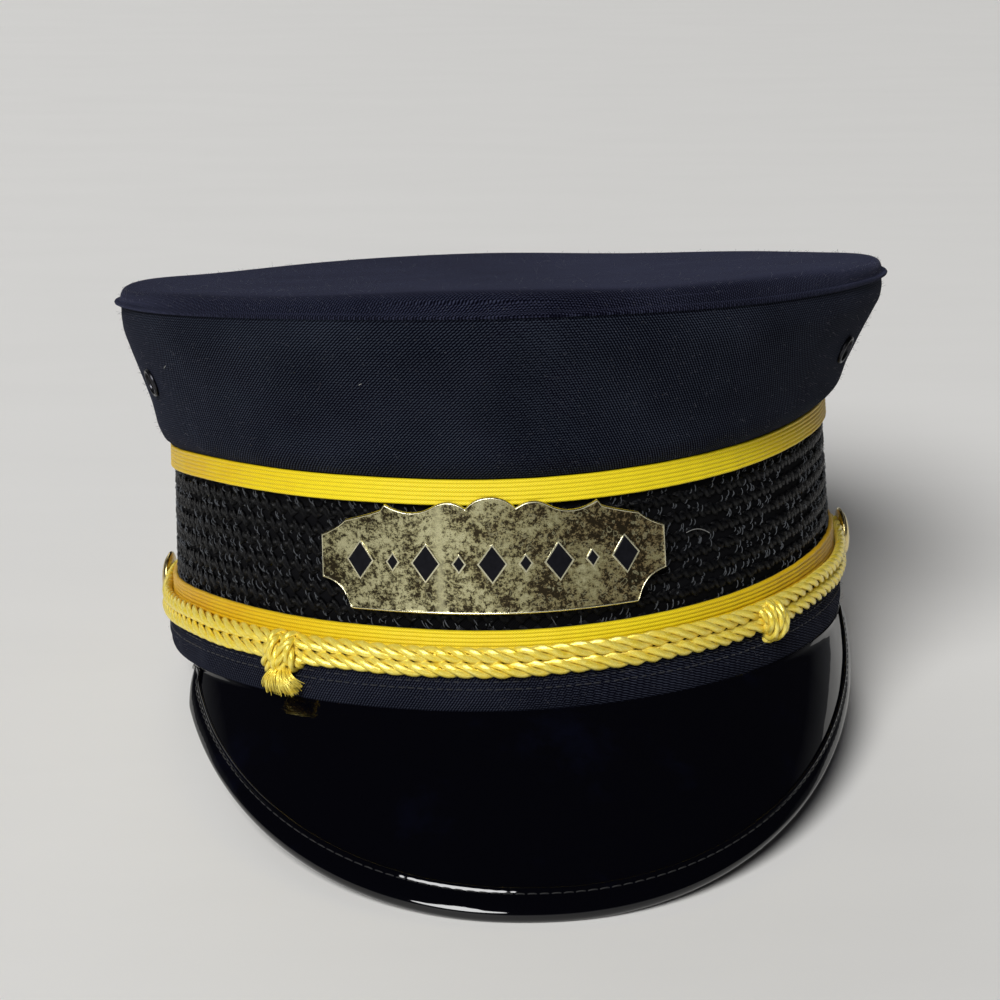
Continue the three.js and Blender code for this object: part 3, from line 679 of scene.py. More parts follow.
def makeMeshBand():
    shape = newShape()
    backOut = meshOut - meshSet["thickness"]
    backUps = np.linspace(trimSet["lowerTop"] - meshSet["lap"],
                          trimSet["upperTop"] - trimSet["width"] + meshSet["lap"], 5)
    outs = np.repeat([backOut + 0.25, backOut], len(backUps))
    bandRings(outs, np.r_[backUps, backUps[::-1]], meshSet["backColumns"], shape, surface=1)
    angle = np.linspace(-180, 180, meshSet["holesRound"] * meshSet["stepsPerHole"] + 1)
    low, pitch = meshRows()
    for row in range(meshSet["rows"]):
        phase = np.pi * (row % 2)
        swing = 0.5 * meshSet["swing"] * np.cos(meshSet["holesRound"] * np.radians(angle) + phase)
        swing = swing * (0.45 + 0.55 * blendTo(np.cos(np.radians(angle + 60)), 0.1, 0.6))
        up = low + pitch * row + swing + 0.12 * uneven(angle, 0, 40 + row, 20, 90)
        for ply in range(2):
            twist = 2 * np.pi * angle * perDegree / meshSet["twistLead"] + np.pi * ply
            out = meshOut - 0.4 + 0.3 * np.sin(twist) + 0.08 * uneven(angle, 0, 60 + row, 20, 90)
            path = laid(bandPoint(angle, out, up + meshSet["plyApart"] * np.cos(twist)))
            radius = meshSet["strand"] * (1 + 0.1 * uneven(angle, 0, 80 + 2 * row + ply, 60, 300))
            addTubes(shape, path[None], radius[None], 6, outward=outwardAlong(angle, up)[None],
                     flat=meshSet["flat"])
    makePiece(shape, "mesh_weave", [yarnFinish, backingFinish], ["mesh_band"])


def outwardAlong(angle, up):
    return outwardAt(angle, 0, up) @ leanRotation.T


# Short filaments in slanting clusters where neighbouring mesh cords meet, coloured pale grey as painted
# highlights of the glossy yarn.
def makeMeshGlints():
    source = np.random.default_rng(21)
    low, pitch = meshRows()
    spots = []
    for row in range(meshSet["rows"] - 1):
        for k in range(meshSet["holesRound"]):
            if source.uniform() < meshSet["glintShare"]:
                across = 360 * (k + 0.5 * (row % 2)) / meshSet["holesRound"] - 180
                spots.append([across, low + pitch * (row + 0.5)])
    spots = np.repeat(np.array(spots), meshSet["glintThreads"], axis=0)
    count = len(spots)
    around = spots[:, 0] + source.normal(0, 0.85, count) / perDegree
    up = spots[:, 1] + source.normal(0, 0.65, count)
    share = np.linspace(-1, 1, 4)
    slant = source.uniform(0.0, 1.3, count) * np.where(around < 5, 0.8, -0.5)
    reach = source.uniform(0.2, 0.95, count)
    angles = around[:, None] + share * (slant * reach)[:, None] / perDegree
    ups = up[:, None] - share * reach[:, None]
    outs = meshOut + 0.32 - 0.4 * share ** 2 + source.uniform(-0.15, 0.1, count)[:, None]
    shape = newShape()
    addTubes(shape, laid(bandPoint(angles, outs, ups)), meshSet["glintRadius"], 4)
    makePiece(shape, "mesh_painted_glints", [glintFinish])


crownSet = {
    "halfWidth": 101, "halfLength": 115.3, "skew": 2.6, "shift": 2.5, "seam": 88.4, "seamWander": 1,
    "wall": 2.4, "topWall": 2.2, "roll": 6, "sag": 1.6, "welt": 1.6, "columns": 480,
    "heights": [0, 0.05, 0.12, 0.3, 0.55, 0.82, 0.93, 1],
    "flares": [0, 0.14, 0.27, 0.4, 0.66, 0.96, 1, 0.98],
    "soft": 0.35, "overlap": 1.013, "outerRows": 60, "innerRows": 12, "uvRadius": 100, "uvLength": 115,
    "uvHeight": 38,
}


def seamPoint(around, out):
    x, y = ovalPoint(crownSet["halfWidth"] + out, crownSet["halfLength"] + out, crownSet["skew"], around)
    z = crownSet["seam"] + crownSet["seamWander"] * waver("seam", around)
    return np.stack(np.broadcast_arrays(x + crownSet["shift"], y, z), -1)


def crownPoint(around, out, height):
    foot = bandPoint(around, out, trimSet["upperTop"] + fit)
    seam = seamPoint(around, out)
    rows = np.linspace(0, 1, 41)
    flares = np.interp(rows, crownSet["heights"], crownSet["flares"])
    flares[1:-1] = 0.25 * flares[:-2] + 0.5 * flares[1:-1] + 0.25 * flares[2:]
    flare = np.interp(height, rows, flares)[..., None]
    point = foot + (seam - foot) * flare
    point[..., 2] = foot[..., 2] + (seam[..., 2] - foot[..., 2]) * height
    return point


def makeCrownSide():
    columns, upEnd = crownSet["columns"], crownSet["overlap"]
    outerRows, innerRows = crownSet["outerRows"], crownSet["innerRows"]
    around = roundAngles(columns)[:, None]
    height = np.r_[np.linspace(0, upEnd, outerRows), np.linspace(upEnd, 0, innerRows)][None]
    out = np.r_[np.zeros(outerRows), np.full(innerRows, -crownSet["wall"])][None]
    ease = np.sin(np.pi * np.clip(height, 0, 1)) * (out == 0)
    near = np.exp(-((height - 0.05) / 0.05) ** 2) * (out == 0)
    out = out + crownSet["soft"] * ease * uneven(around, 60 * height, 5, 2, 9)
    out = out + 0.12 * near * uneven(around, 0, 6, 20, 60) - 0.35 * near * (height < 0.03)
    rings = laid(crownPoint(np.broadcast_to(around, out.shape), out, np.broadcast_to(height, out.shape)))
    u = 2 * np.pi * crownSet["uvRadius"] * (np.arange(columns + 1) / columns - 0.5)
    v = crownSet["uvHeight"] * np.append(height[0], height[0, :1])
    shape = newShape()
    addLoft(shape, rings, gridUv(u, v), closedAlong=True)
    return makePiece(shape, "crown_side_cloth", [sideCloth], ["crown_side"])


def topPoint(around, radius, level):
    around, radius, level = np.broadcast_arrays(around, radius, level)
    rim = blendTo(radius, 0, 0.9)
    standout = np.maximum(radius - 1, 0) * crownSet["halfWidth"]
    standout = standout * (0.2 + 0.8 * np.sin(np.radians(around)) ** 6)
    scale = np.minimum(radius, 1)
    x, y = ovalPoint(scale * crownSet["halfWidth"] + standout, scale * crownSet["halfLength"] + standout,
                     crownSet["skew"], around)
    mean = {key: np.mean(waverTable[key]) for key in ("seam", "roll")}
    seam = (mean["seam"] + (waver("seam", around) - mean["seam"]) * rim) * crownSet["seamWander"]
    roll = (mean["roll"] + (waver("roll", around) - mean["roll"]) * rim) * crownSet["roll"]
    sag = crownSet["sag"] * (1 - scale ** 2) * blendTo(level, 0, 0.6)
    return np.stack([x + crownSet["shift"], y, crownSet["seam"] + seam + fit + roll * level - sag], -1)


# The rolled edge's profile, as (share of the radius, share of the roll's height).
topRows = [[1, 0.3], [0.997, 0.62], [0.99, 0.84], [0.974, 0.96], [0.94, 1], [0.9, 1]]


def makeCrownTop():
    wall = crownSet["topWall"] / crownSet["halfWidth"]
    standout = crownSet["welt"] / crownSet["halfWidth"]
    panel = crownSet["topWall"] / crownSet["roll"]
    under = [[0.001, 1 - panel], [0.3, 1 - panel], [0.6, 1 - panel], [0.8, 1 - panel],
             [0.96 - wall, 1 - panel], [1 - wall, 0.5 * (1 - panel)], [1 - wall, 0]]
    welt = [[1 + 0.6 * standout, 0], [1 + 0.92 * standout, 0.05], [1 + standout, 0.12],
            [1 + 0.9 * standout, 0.19], [1 + 0.5 * standout, 0.24]]
    roll = rounded([[0.999, 0.2], *topRows], 6)[:31]
    inside = [[r, 1] for r in np.linspace(0.89, 0.001, 34)]
    profile = np.array([*under, *welt, *roll, *inside])
    columns = crownSet["columns"]
    around = roundAngles(columns)[None]
    radius, level = profile[:, :1], profile[:, 1:]
    points = topPoint(around, radius, level)
    outside = (level > 0.6) & (np.arange(len(profile))[:, None] > len(under))
    points[..., 2] += 0.3 * outside * uneven(around, 40 * radius, 9, 2, 9) * blendTo(radius, 0.2, 0.8)
    angle = np.radians(np.arange(columns + 1) * 360 / columns - 180)
    spreadOut = profile[:, 0] - np.r_[0, np.cumsum(np.diff(profile[:, 1]))] * 0.05
    uv = np.stack([crownSet["uvRadius"] * spreadOut[:, None] * np.sin(angle),
                   -crownSet["uvLength"] * spreadOut[:, None] * np.cos(angle)], -1)
    shape = newShape()
    addLoft(shape, laid(points), uv)
    makePiece(shape, "crown_top_cloth", [topCloth], ["crown_top"])


lintSet = {
    "onTop": 420, "onSide": 60, "length": 1.3, "thickness": 0.03, "fuzz": 5200, "fuzzLength": 0.75,
    "fuzzThickness": 0.024,
}


# Loose fibres on the cloth; most lie on the top, where they catch the light.
def makeLint():
    source = np.random.default_rng(4)
    count = lintSet["onTop"]
    around = source.uniform(-180, 180, count)
    radius = source.uniform(0, 1, count) ** 0.4 * 0.995
    rows = np.array(topRows)[4::-1]
    level = np.interp(radius, np.r_[0, rows[:, 0]], np.r_[1, rows[:, 1]])
    onTop = laid(topPoint(around, radius, level))
    count = lintSet["onSide"]
    sideAround = source.uniform(-180, 180, count)
    onSide = laid(crownPoint(sideAround, np.zeros(count), source.uniform(0.05, 0.95, count)))
    start = np.concatenate([onTop, onSide])
    rise = np.r_[np.full(len(onTop), 0.28), np.full(len(onSide), 0.0)][:, None, None]
    way = unit(source.normal(0, 1, (len(start), 3)))
    bend = source.normal(0, 0.35, (len(start), 3))
    share = np.linspace(0, 1, 5)[:, None]
    length = lintSet["length"] * source.uniform(0.4, 1.5, len(start))[:, None, None]
    paths = start[:, None] + length * (share * way[:, None] + share ** 2 * bend[:, None])
    foot = start[:, None, 2:]
    paths[..., 2:] = foot + 0.45 * (paths[..., 2:] - foot) + rise * share * length
    shape = newShape()
    addTubes(shape, paths, lintSet["thickness"], 3)
    makePiece(shape, "cloth_lint", [lintFinish])


# Short nap that stands off the cloth and softens its outline.
def makeFuzz():
    source = np.random.default_rng(8)
    count = lintSet["fuzz"]
    around = source.uniform(-180, 180, count)
    share = source.uniform(0, 1, count)
    onTop = laid(topPoint(around, np.interp(share, [0, 0.4, 1], [0.6, 0.985, 1]),
                          np.interp(share, [0, 0.4, 0.6, 1], [1, 0.9, 0.8, 0.3])))
    onSide = laid(crownPoint(around, np.zeros(count), share))
    onBand = laid(bandPoint(around, 0.9, 1.2 + 7 * share))
    which = source.choice(3, count, p=[0.42, 0.45, 0.13])[:, None]
    start = np.select([which == 0, which == 1], [onTop, onSide], onBand)
    away = np.where(which == 0, [[0, 0, 0.8]], [[0, 0, 0]]) + unit((start - shift) * [1, 1, 0])
    way = unit(unit(away) + source.normal(0, 0.55, (count, 3)))
    bend = source.normal(0, 0.35, (count, 3))
    steps = np.linspace(0, 1, 3)[:, None]
    length = lintSet["fuzzLength"] * source.uniform(0.3, 1.3, count)[:, None, None]
    shape = newShape()
    paths = start[:, None] + length * (steps * way[:, None] + steps ** 2 * bend[:, None])
    addTubes(shape, paths, lintSet["fuzzThickness"], 3)
    makePiece(shape, "cloth_nap", [lintFinish])


def makePaleLint():
    share = np.linspace(0, 1, 9)
    strayAround = 24.5 + 4.4 * share
    strayUp = 36.5 - 1.5 * share ** 2 + 0.6 * np.sin(3 * share)
    stray = laid(bandPoint(strayAround, meshOut + 0.45, strayUp))
    specks = []
    for around, height, length in ((-61, 0.62, 1.6), (-23, 0.6, 0.8)):
        angles = around + length / 1.7 * (share - 0.5)
        specks.append(laid(crownPoint(angles, 0.12 + 0 * share, height + 0.012 * length * share)))
    shape = newShape()
    addTubes(shape, [stray, *specks], 0.07, 5)
    makePiece(shape, "stray_fibres", [paleLint])


cordSet = {
    "width": 3.6, "depth": 2.6, "spacing": 3.9, "buttonClimb": 12, "shank": 1, "left": -100, "right": 86.5,
    "lead": 12.9, "plyRadius": 0.89, "helix": 1.13, "step": 0.8, "sides": 9, "close": 0.16, "knotDepth": 2.9,
}
buttonUp = trimSet["lowerTop"] - trimSet["width"] - fit - cordSet["shank"]
turnRadius = cordSet["shank"] + fit + 0.5 * cordSet["width"]
leftKnotAround, rightKnotAround = -40, 39.2


# The cord's way as (around, up): from the left knot along the lower strand, round the right
# button's shank, back along the upper strand, round the left shank and home again.
def cordWay():
    left, right, climb = cordSet["left"], cordSet["right"], cordSet["buttonClimb"]

    def strand(start, end, side):
        around = np.linspace(start, end, 160)
        near = np.maximum(blendTo(left - around, -climb, 0), blendTo(around - right, -climb, 0))
        apart = (0.5 * cordSet["spacing"] - cordSet["close"]) * (1 - near) + turnRadius * near
        return np.stack([around, buttonUp + side * apart], -1)

    def shankTurn(around):
        turn = np.radians(np.linspace(90, -90, 20))
        outward = np.sign(around) * turnRadius * np.cos(turn) / perDegree
        return np.stack([around + outward, buttonUp + turnRadius * np.sin(turn)], -1)

    edge = 0.35 * climb
    return np.concatenate([
        strand(leftKnotAround, right - edge, -1), shankTurn(right)[::-1],
        strand(right - edge, left + edge, 1), shankTurn(left), strand(left + edge, leftKnotAround, -1)])


def evenly(points, step):
    reach = runningLength(points)
    places = np.linspace(0, reach[-1], int(reach[-1] / step))
    return np.stack([np.interp(places, reach, points[:, k]) for k in range(points.shape[1])], -1)


# Three plies twisted round a centre line and a little flattened against what they lie on.
def addRope(shape, centre, outward, scale=1.0, flat=0.74):
    tangent = unit(np.gradient(centre, axis=0))
    outward = unit(outward - tangent * np.sum(outward * tangent, -1, keepdims=True))
    across = np.cross(outward, tangent)
    reach = runningLength(centre)
    wobble = 0.25 * np.sin(reach / 23) + 0.2 * np.sin(reach / 9.1 + 1)
    for ply in range(3):
        twist = (2 * np.pi * (reach / (cordSet["lead"] * scale) + ply / 3) + wobble)[:, None]
        path = centre + scale * cordSet["helix"] * (np.cos(twist) * across + flat * np.sin(twist) * outward)
        radius = scale * cordSet["plyRadius"] * (1 + 0.05 * np.sin(reach * 1.7 + ply))
        addTubes(shape, path[None], radius[None], cordSet["sides"], outward=outward[None], flat=flat)


def makeChinCord():
    way = cordWay()
    way = evenly(way * [perDegree, 1], cordSet["step"]) / [perDegree, 1]
    out = fit + 0.5 * cordSet["depth"]
    way[:, 1] += 0.12 * np.sin(way[:, 0] / 6.3) + 0.08 * np.sin(way[:, 0] / 2.7)
    centre = laid(bandPoint(way[:, 0], out, way[:, 1]))
    shape = newShape()
    addRope(shape, centre, outwardAlong(way[:, 0], way[:, 1]))
    addKnot(shape, leftKnotAround, knotWraps["left"], 0.84)
    addKnot(shape, rightKnotAround, knotWraps["right"], 0.8)
    makePiece(shape, "chin_cord_plied", [cordFinish], ["chin_cord"])


# A knot is wraps side by side over a solid heart: the place, half height and slant of each, and
# the radii of the heart.
knotWraps = {
    "left": [[-3.0, 3.9, 1.3], [-0.6, 4.4, -0.9], [1.9, 4.2, 1.5], [3.4, 3.2, -0.6]],
    "right": [[-2.3, 3.6, -1.3], [0.1, 4.2, -1.5], [2.3, 3.7, -1.1]],
}
knotHeart = np.array([1.6, 2.6, 3.0, 3.1, 3.0, 2.6, 1.6])
knotSeat = bandSet["edgeRoll"] + fit + cordSet["knotDepth"]


def addKnot(shape, around, wraps, scale):
    up = buttonUp - 0.5 * cordSet["spacing"] + 0.4
    for place, high, slant in wraps:
        turn = np.radians(np.linspace(-128, 128, 26))
        local = np.stack([place + slant * np.sin(turn), -2.4 + 3.0 * np.cos(turn) * (1 - 0.03 * place ** 2),
                          high * np.sin(turn) + 0.12 * place], -1)
        path = atBand(around, knotSeat, up, evenly(local, 0.6))
        middle = atBand(around, knotSeat, up, np.array([[place, -3.5, 0]]))
        addRope(shape, path, unit(path - middle), scale, 0.9)
    heart = np.array([[x, -2.6, 0.1 * x] for x in np.linspace(-3.4, 3.4, len(knotHeart))])
    addTubes(shape, atBand(around, knotSeat, up, heart)[None], knotHeart, 14)


frayedSet = {
    "fibres": 620, "shortest": 4.2, "longest": 6.3, "radii": [0.16, 0.16, 0.14, 0.13, 0.11, 0.06],
}


def makeFrayedEnd():
    source = np.random.default_rng(12)
    count = frayedSet["fibres"]
    fan = source.uniform(-1, 1, count)
    depth = source.uniform(-1, 1, count)
    length = source.uniform(frayedSet["shortest"], frayedSet["longest"], count) * (1 - 0.12 * fan ** 2)
    share = np.linspace(0, 1, len(frayedSet["radii"]))
    lobe = np.where(fan > 0, 1.15, 0.95)
    x = 0.4 + fan[:, None] * (1.6 + 3.5 * share ** 0.9) * lobe[:, None]
    x = x + source.normal(0, 0.35, count)[:, None] * share ** 2
    y = -0.9 + depth[:, None] * (0.9 + 0.8 * share) + 1.1 * np.sin(np.pi * share)
    z = -3.3 - length[:, None] * share + 0.5 * source.normal(0, 1, count)[:, None] * share ** 3
    up = buttonUp - 0.5 * cordSet["spacing"] + 0.6
    points = atBand(leftKnotAround, knotSeat, up, np.stack([x, y, z], -1))
    shape = newShape()
    addTubes(shape, points, frayedSet["radii"], 4)
    makePiece(shape, "cord_frayed_end", [fibreFinish])


plateSet = {
    "width": 79.6, "thickness": 1, "rim": 0.25, "rimWidth": 0.5, "bottom": 23.4, "height": 26.9,
    "centreUp": 35, "around": -6.3, "columns": 220, "rows": 14, "chamfer": 0.3,
    "insets": [0, 0.12, 0.25, 0.4, 0.5, 0.6, 0.68, 0.8],
    "lozenge": 7.6, "lozengeHeight": 9.4, "relief": 0.35, "count": 9, "small": 0.5, "border": 0.5,
    "sunk": 0.4,
}


def bow(start, control, end, steps=12):
    t = np.linspace(0, 1, steps)[:, None]
    start, control, end = map(np.array, (start, control, end))
    return (1 - t) ** 2 * start + 2 * t * (1 - t) * control + t ** 2 * end


# Half of the plate's upper and lower edge, in shares of its half width and height.
plateTop = np.concatenate([
    bow((0, 1), (0.09, 1), (0.145, 0.905)), bow((0.145, 0.905), (0.24, 1), (0.33, 0.92)),
    bow((0.33, 0.92), (0.46, 0.8), (0.615, 0.92)), bow((0.635, 0.875), (0.66, 0.85), (0.85, 0.77)),
    bow((0.85, 0.77), (0.9, 0.69), (1, 0.625))])
plateLow = np.concatenate([[[0, 0]], bow((0.83, 0), (0.86, 0.22), (1, 0.25))])


def plateAngle(across):
    return plateSet["around"] + np.degrees(np.arcsin(across / (bandSet["halfWidth"] + bandSet["flare"])))


def plateFace(across, up, low, high):
    half = 0.5 * plateSet["width"]
    edge = np.minimum(np.minimum(up - low, high - up), half - np.abs(across))
    ridge = plateSet["rim"] * (1 - blendTo(edge, plateSet["rimWidth"] - 0.1, plateSet["rimWidth"] + 0.1))
    chamfer = plateSet["chamfer"]
    return fit + plateSet["thickness"] + ridge - chamfer * (1 - blendTo(edge, 0, chamfer))


def makeNameplate():
    half = 0.5 * plateSet["width"]
    insets = np.array(plateSet["insets"])
    ends, corners = 1 - insets / half, plateTop[:, 0]
    share = np.unique(np.r_[np.linspace(-1, 1, plateSet["columns"]), ends, -ends, corners, -corners])
    low = plateSet["bottom"] + plateSet["height"] * np.interp(np.abs(share), *plateLow.T)
    high = plateSet["bottom"] + plateSet["height"] * np.interp(np.abs(share), *plateTop.T)
    middle = np.linspace(0, 1, plateSet["rows"] + 2)[1:-1]
    low, high = low[:, None], high[:, None]
    inside = low + insets[-1] + (high - low - 2 * insets[-1]) * middle
    ups = np.concatenate([low + insets, inside, high - insets[::-1]], 1)
    across = half * share[:, None]
    outs = plateFace(across, ups, low, high)
    ups = np.concatenate([low, ups, high], 1)
    outs = np.concatenate([np.full_like(low, fit), outs, np.full_like(low, fit)], 1)
    across = np.broadcast_to(across, ups.shape)
    rings = laid(bandPoint(plateAngle(across), outs, ups))
    uv = np.stack([np.c_[across, across[:, :1]], np.c_[ups, ups[:, :1]]], -1)
    shape = newShape()
    addLoft(shape, rings, uv)
    # The rim's faces take the bright brass: partly the rim's polish, partly a painted highlight that draws a
    # pale line round the edge.
    rimEnd = plateSet["rimWidth"] - 0.05
    onRim = insets[:-1] < rimEnd
    edgeRows = np.r_[True, onRim, np.zeros(len(middle) + 1, bool), onRim[::-1], True, False]
    edgeColumns = half * (1 - np.abs(share[:-1] + share[1:]) / 2) < rimEnd
    edging = (edgeColumns[:, None] | edgeRows).ravel()
    shape["surfaces"][:edging.size] = edging.astype(int).tolist()
    enamel = newShape()
    for k in range(plateSet["count"]):
        size = 1 if k % 2 == 0 else plateSet["small"]
        around = plateAngle((k - (plateSet["count"] - 1) / 2) * plateSet["lozenge"])
        base = fit + (1 - plateSet["sunk"]) * plateSet["thickness"]
        top = plateSet["sunk"] * plateSet["thickness"] + plateSet["relief"]
        addLozenge(shape, around, base, size, 0.0, top - 0.12, 1)
        addLozenge(enamel, around, base, size, plateSet["border"], top, 0)
    makePiece(shape, "plate_brass_face", [plateFinish, rimPolishAndHighlight], ["nameplate"])
    makePiece(enamel, "plate_enamel", [enamelFinish])


def addLozenge(shape, around, base, size, inset, top, surface):
    halfWide = 0.5 * size * plateSet["lozenge"] * 0.93 - inset
    halfHigh = 0.5 * size * plateSet["lozengeHeight"] - inset * 1.2
    share = np.linspace(0, 1, 5)[:-1, None]
    corners = np.array([[1, 0], [0, 1], [-1, 0], [0, -1], [1, 0]])
    loop = np.concatenate([corners[k] + share * (corners[k + 1] - corners[k]) for k in range(4)])
    rings = []
    for shrink, height in ((0, 0), (0, top - 0.1), (0.04, top - 0.03), (0.12, top)):
        flat = loop * [max(halfWide - shrink, 0.1), max(halfHigh - shrink, 0.1)]
        rings.append(np.stack([flat[:, 0], np.full(len(flat), height), flat[:, 1]], -1))
    rings = np.array(rings)
    uv = np.concatenate([rings, rings[:, :1]], 1)[..., [0, 2]]
    addLoft(shape, atBand(around, base, plateSet["centreUp"], rings), uv, surface=surface)


# A turned piece: its profile of (radius, height) stands on a spot and points outwards.
def addTurned(shape, profile, place, sides=48, closed=False):
    turn = 2 * np.pi * np.arange(sides) / sides
    profile = np.asarray(profile, float)
    radius, height = profile[:, :1], profile[:, 1:]
    rings = np.stack([radius * np.cos(turn), height + 0 * turn, radius * np.sin(turn)], -1)
    uv = gridUv(np.arange(len(profile) + closed) * 0.5, np.arange(sides + 1) * 0.5)
    addLoft(shape, place(rings), uv, closedAlong=closed)


buttonSet = {
    "radius": 7, "dome": 2.6,
    "rim": [[0.93, 0], [0.985, 0.08], [1, 0.18], [0.985, 0.3], [0.94, 0.36], [0.91, 0.29]],
}


def makeButtons():
    domeOut = fit + cordSet["depth"] + fit
    radius, dome = buttonSet["radius"], buttonSet["dome"]
    angles = np.radians(np.linspace(0, 86, 14))
    top = [[0.9 * radius * np.cos(a), domeOut + dome * (0.3 + 0.7 * np.sin(a))] for a in angles]
    rim = [[wide * radius, domeOut + high * dome] for wide, high in buttonSet["rim"]]
    shank, foot = cordSet["shank"], wallOut - bandSet["wall"]
    shank = [[0.02, foot], [shank, foot], [shank, domeOut - 0.1], [0.6 * radius, domeOut - 0.12]]
    profile = [*shank, *rim, *top]
    for node, around in (("button_left", cordSet["left"]), ("button_right", cordSet["right"])):
        shape = newShape()
        addTurned(shape, profile, lambda rings: atBand(around, 0, buttonUp, rings))
        makePiece(shape, node + "_domed", [buttonFinish], [node])


ventSet = {"radius": 3.7, "bore": 1.9, "rim": 0.8, "share": 0.49, "left": -70, "right": 59}


def ventPlace(around):
    share = ventSet["share"]
    arounds = around + np.array([0, -1.0, 1.0, 0, 0])
    origin, left, right, low, high = crownPoint(arounds, 0.0, share + np.array([0, 0, 0, -0.1, 0.1]))
    side, above = right - left, high - low
    normal = unit(np.cross(side, above))
    side = unit(side)
    return origin, np.array([side, normal, np.cross(normal, side)])


def makeVents(crown):
    bore, rim, radius, wall = ventSet["bore"], ventSet["rim"], ventSet["radius"], crownSet["wall"]
    barrel = bore + rim
    lip = [[barrel + (radius - barrel) * (0.5 + 0.5 * np.cos(a)), 0.15 + rim * np.sin(a)]
           for a in np.linspace(0, np.pi, 12)]
    profile = [[bore, -wall], [barrel - 0.1, -wall], [barrel - 0.1, 0.12], *lip, [bore, 0.5 * rim]]
    for node, around in (("vent_left", ventSet["left"]), ("vent_right", ventSet["right"])):
        origin, axes = ventPlace(around)
        shape = newShape()
        addTurned(shape, profile, lambda rings: laid(origin + rings @ axes), 32, closed=True)
        makePiece(shape, node + "_eyelet", [ventFinish], [node])
        punchHole(crown, origin, axes, barrel)


# Cuts the eyelet's round hole through the cloth.
def punchHole(crown, origin, axes, radius):
    centre, tip = laid(np.array([origin, origin + axes[1]])) * metre
    bpy.ops.mesh.primitive_cylinder_add(vertices=24, radius=radius * metre, depth=12 * metre)
    punch = bpy.context.object
    direction = Vector(tip - centre).to_track_quat("Z", "Y")
    punch.matrix_world = Matrix.Translation(Vector(centre)) @ direction.to_matrix().to_4x4()
    cut = crown.modifiers.new("hole", "BOOLEAN")
    cut.operation, cut.object, cut.solver = "DIFFERENCE", punch, "EXACT"
    bpy.context.view_layer.update()
    graph = bpy.context.evaluated_depsgraph_get()
    cutMesh = bpy.data.meshes.new_from_object(crown.evaluated_get(graph))
    crown.modifiers.remove(cut)
    crown.data = cutMesh
    bpy.data.objects.remove(punch)


peakSet = {
    "reach": 40.1, "halfWidth": 87.1, "shift": 2.6, "cornerForward": 6.8, "cornerRise": 21.8,
    "sheet": 1.5, "camber": 1.6, "roundness": 0.93, "bindingWidth": 7.3, "leaf": 0.7,
    "underEdge": 0.33, "tipPressed": 0.3, "leftEdge": -75, "leftSeat": -67.5, "rightEdge": 88,
    "rightSeat": 79, "columns": 300, "stitchInset": 5.7, "stitchPitch": 2.7, "pucker": 0.05,
    "tuck": 0.045, "thinning": 0.03, "narrowest": 1.5,
}


def peakEdge(edge):
    turn = np.radians(edge)
    aside = np.sign(turn) * np.abs(np.sin(turn)) ** peakSet["roundness"]
    ahead = np.maximum(np.cos(turn), 0) ** peakSet["roundness"]
    tip = bandSet["halfLength"] + peakSet["reach"] - peakSet["cornerForward"]
    lift = peakSet["underEdge"] * (0.5 * peakSet["sheet"] + fit + peakSet["leaf"]) - peakSet["tipPressed"]
    x = peakSet["shift"] + peakSet["halfWidth"] * aside
    y = -peakSet["cornerForward"] - tip * ahead
    return np.stack([x, y, peakSet["cornerRise"] * (1 - ahead) + lift], -1)


# The peak's frame at shares of the way from its left end to its right end.
def peakStations(share):
    edge = peakSet["leftEdge"] + (peakSet["rightEdge"] - peakSet["leftEdge"]) * share
    seat = peakSet["leftSeat"] + (peakSet["rightSeat"] - peakSet["leftSeat"]) * share
    half = 0.5 * peakSet["sheet"]
    inner = laid(bandPoint(seat, -half, -(fit + half))) - shift
    outer = peakEdge(edge)
    inward = inner - outer
    width = np.linalg.norm(inward, axis=-1)
    inward = unit(inward)
    width = np.maximum(width * (0.1 + 0.9 * blendTo(share, 0, peakSet["tuck"])), peakSet["narrowest"])
    outer = inner - inward * width[:, None]
    normal = unit(np.cross(unit(peakEdge(edge + 1) - peakEdge(edge - 1)), inward))
    normal = normal * np.sign(normal[:, 2:])
    return outer, inward, normal, width


def peakPoint(stations, inset, offset):
    outer, inward, normal, width = stations
    share = np.clip(inset / width[:, None], 0, 1)
    bulge = 4 * share * (1 - share) * peakSet["camber"] * blendTo(width, 0, peakSet["reach"])[:, None]
    return (outer[:, None] + inward[:, None] * inset[..., None]
            + normal[:, None] * (bulge + offset)[..., None] + shift)


def peakLength(stations):
    return runningLength(stations[0])


def peakUv(stations, inset):
    length = peakLength(stations)
    inset = np.c_[inset, inset[:, :1]]
    return np.stack([np.broadcast_to(length[:, None], inset.shape), inset], -1)


# The left end thins out where it goes under the band.
def peakThinning(columns):
    return 0.2 + 0.8 * blendTo(np.linspace(0, 1, columns), 0, peakSet["thinning"])[:, None]


def makePeak():
    stations = peakStations(np.linspace(0, 1, peakSet["columns"]))
    rows = np.r_[0, 0.004, np.linspace(0.03, 0.97, 26), 0.996, 1]
    loop = np.r_[rows, rows[::-1]]
    start = peakSet["leaf"] + fit
    half = 0.5 * peakSet["sheet"]
    inset = start + (stations[3][:, None] - start) * loop[None]
    tucked = 0.5 * blendTo(loop, 0.95, 1)
    side = (np.repeat([half, -half], len(rows)) + tucked)[None]
    rings = peakPoint(stations, inset, side * peakThinning(peakSet["columns"]) + 0 * inset)
    shape = newShape()
    addLoft(shape, rings, peakUv(stations, inset))
    piece = makePiece(shape, "peak_patent", [patentFinish, undersideFinish], ["peak"])
    for face in piece.data.polygons:
        if face.normal.z < -0.3:
            face.material_index = 1


# How far the binding's leaf lies below its full thickness, as (inset from the edge, drop).
leafDips = [[2.6, -0.02], [3.6, 0.04], [4.5, 0.16], [5.2, 0.34], [5.7, 0.44], [6.1, 0.34], [6.6, 0.26],
            [7.0, 0.34], [7.25, 0.55]]


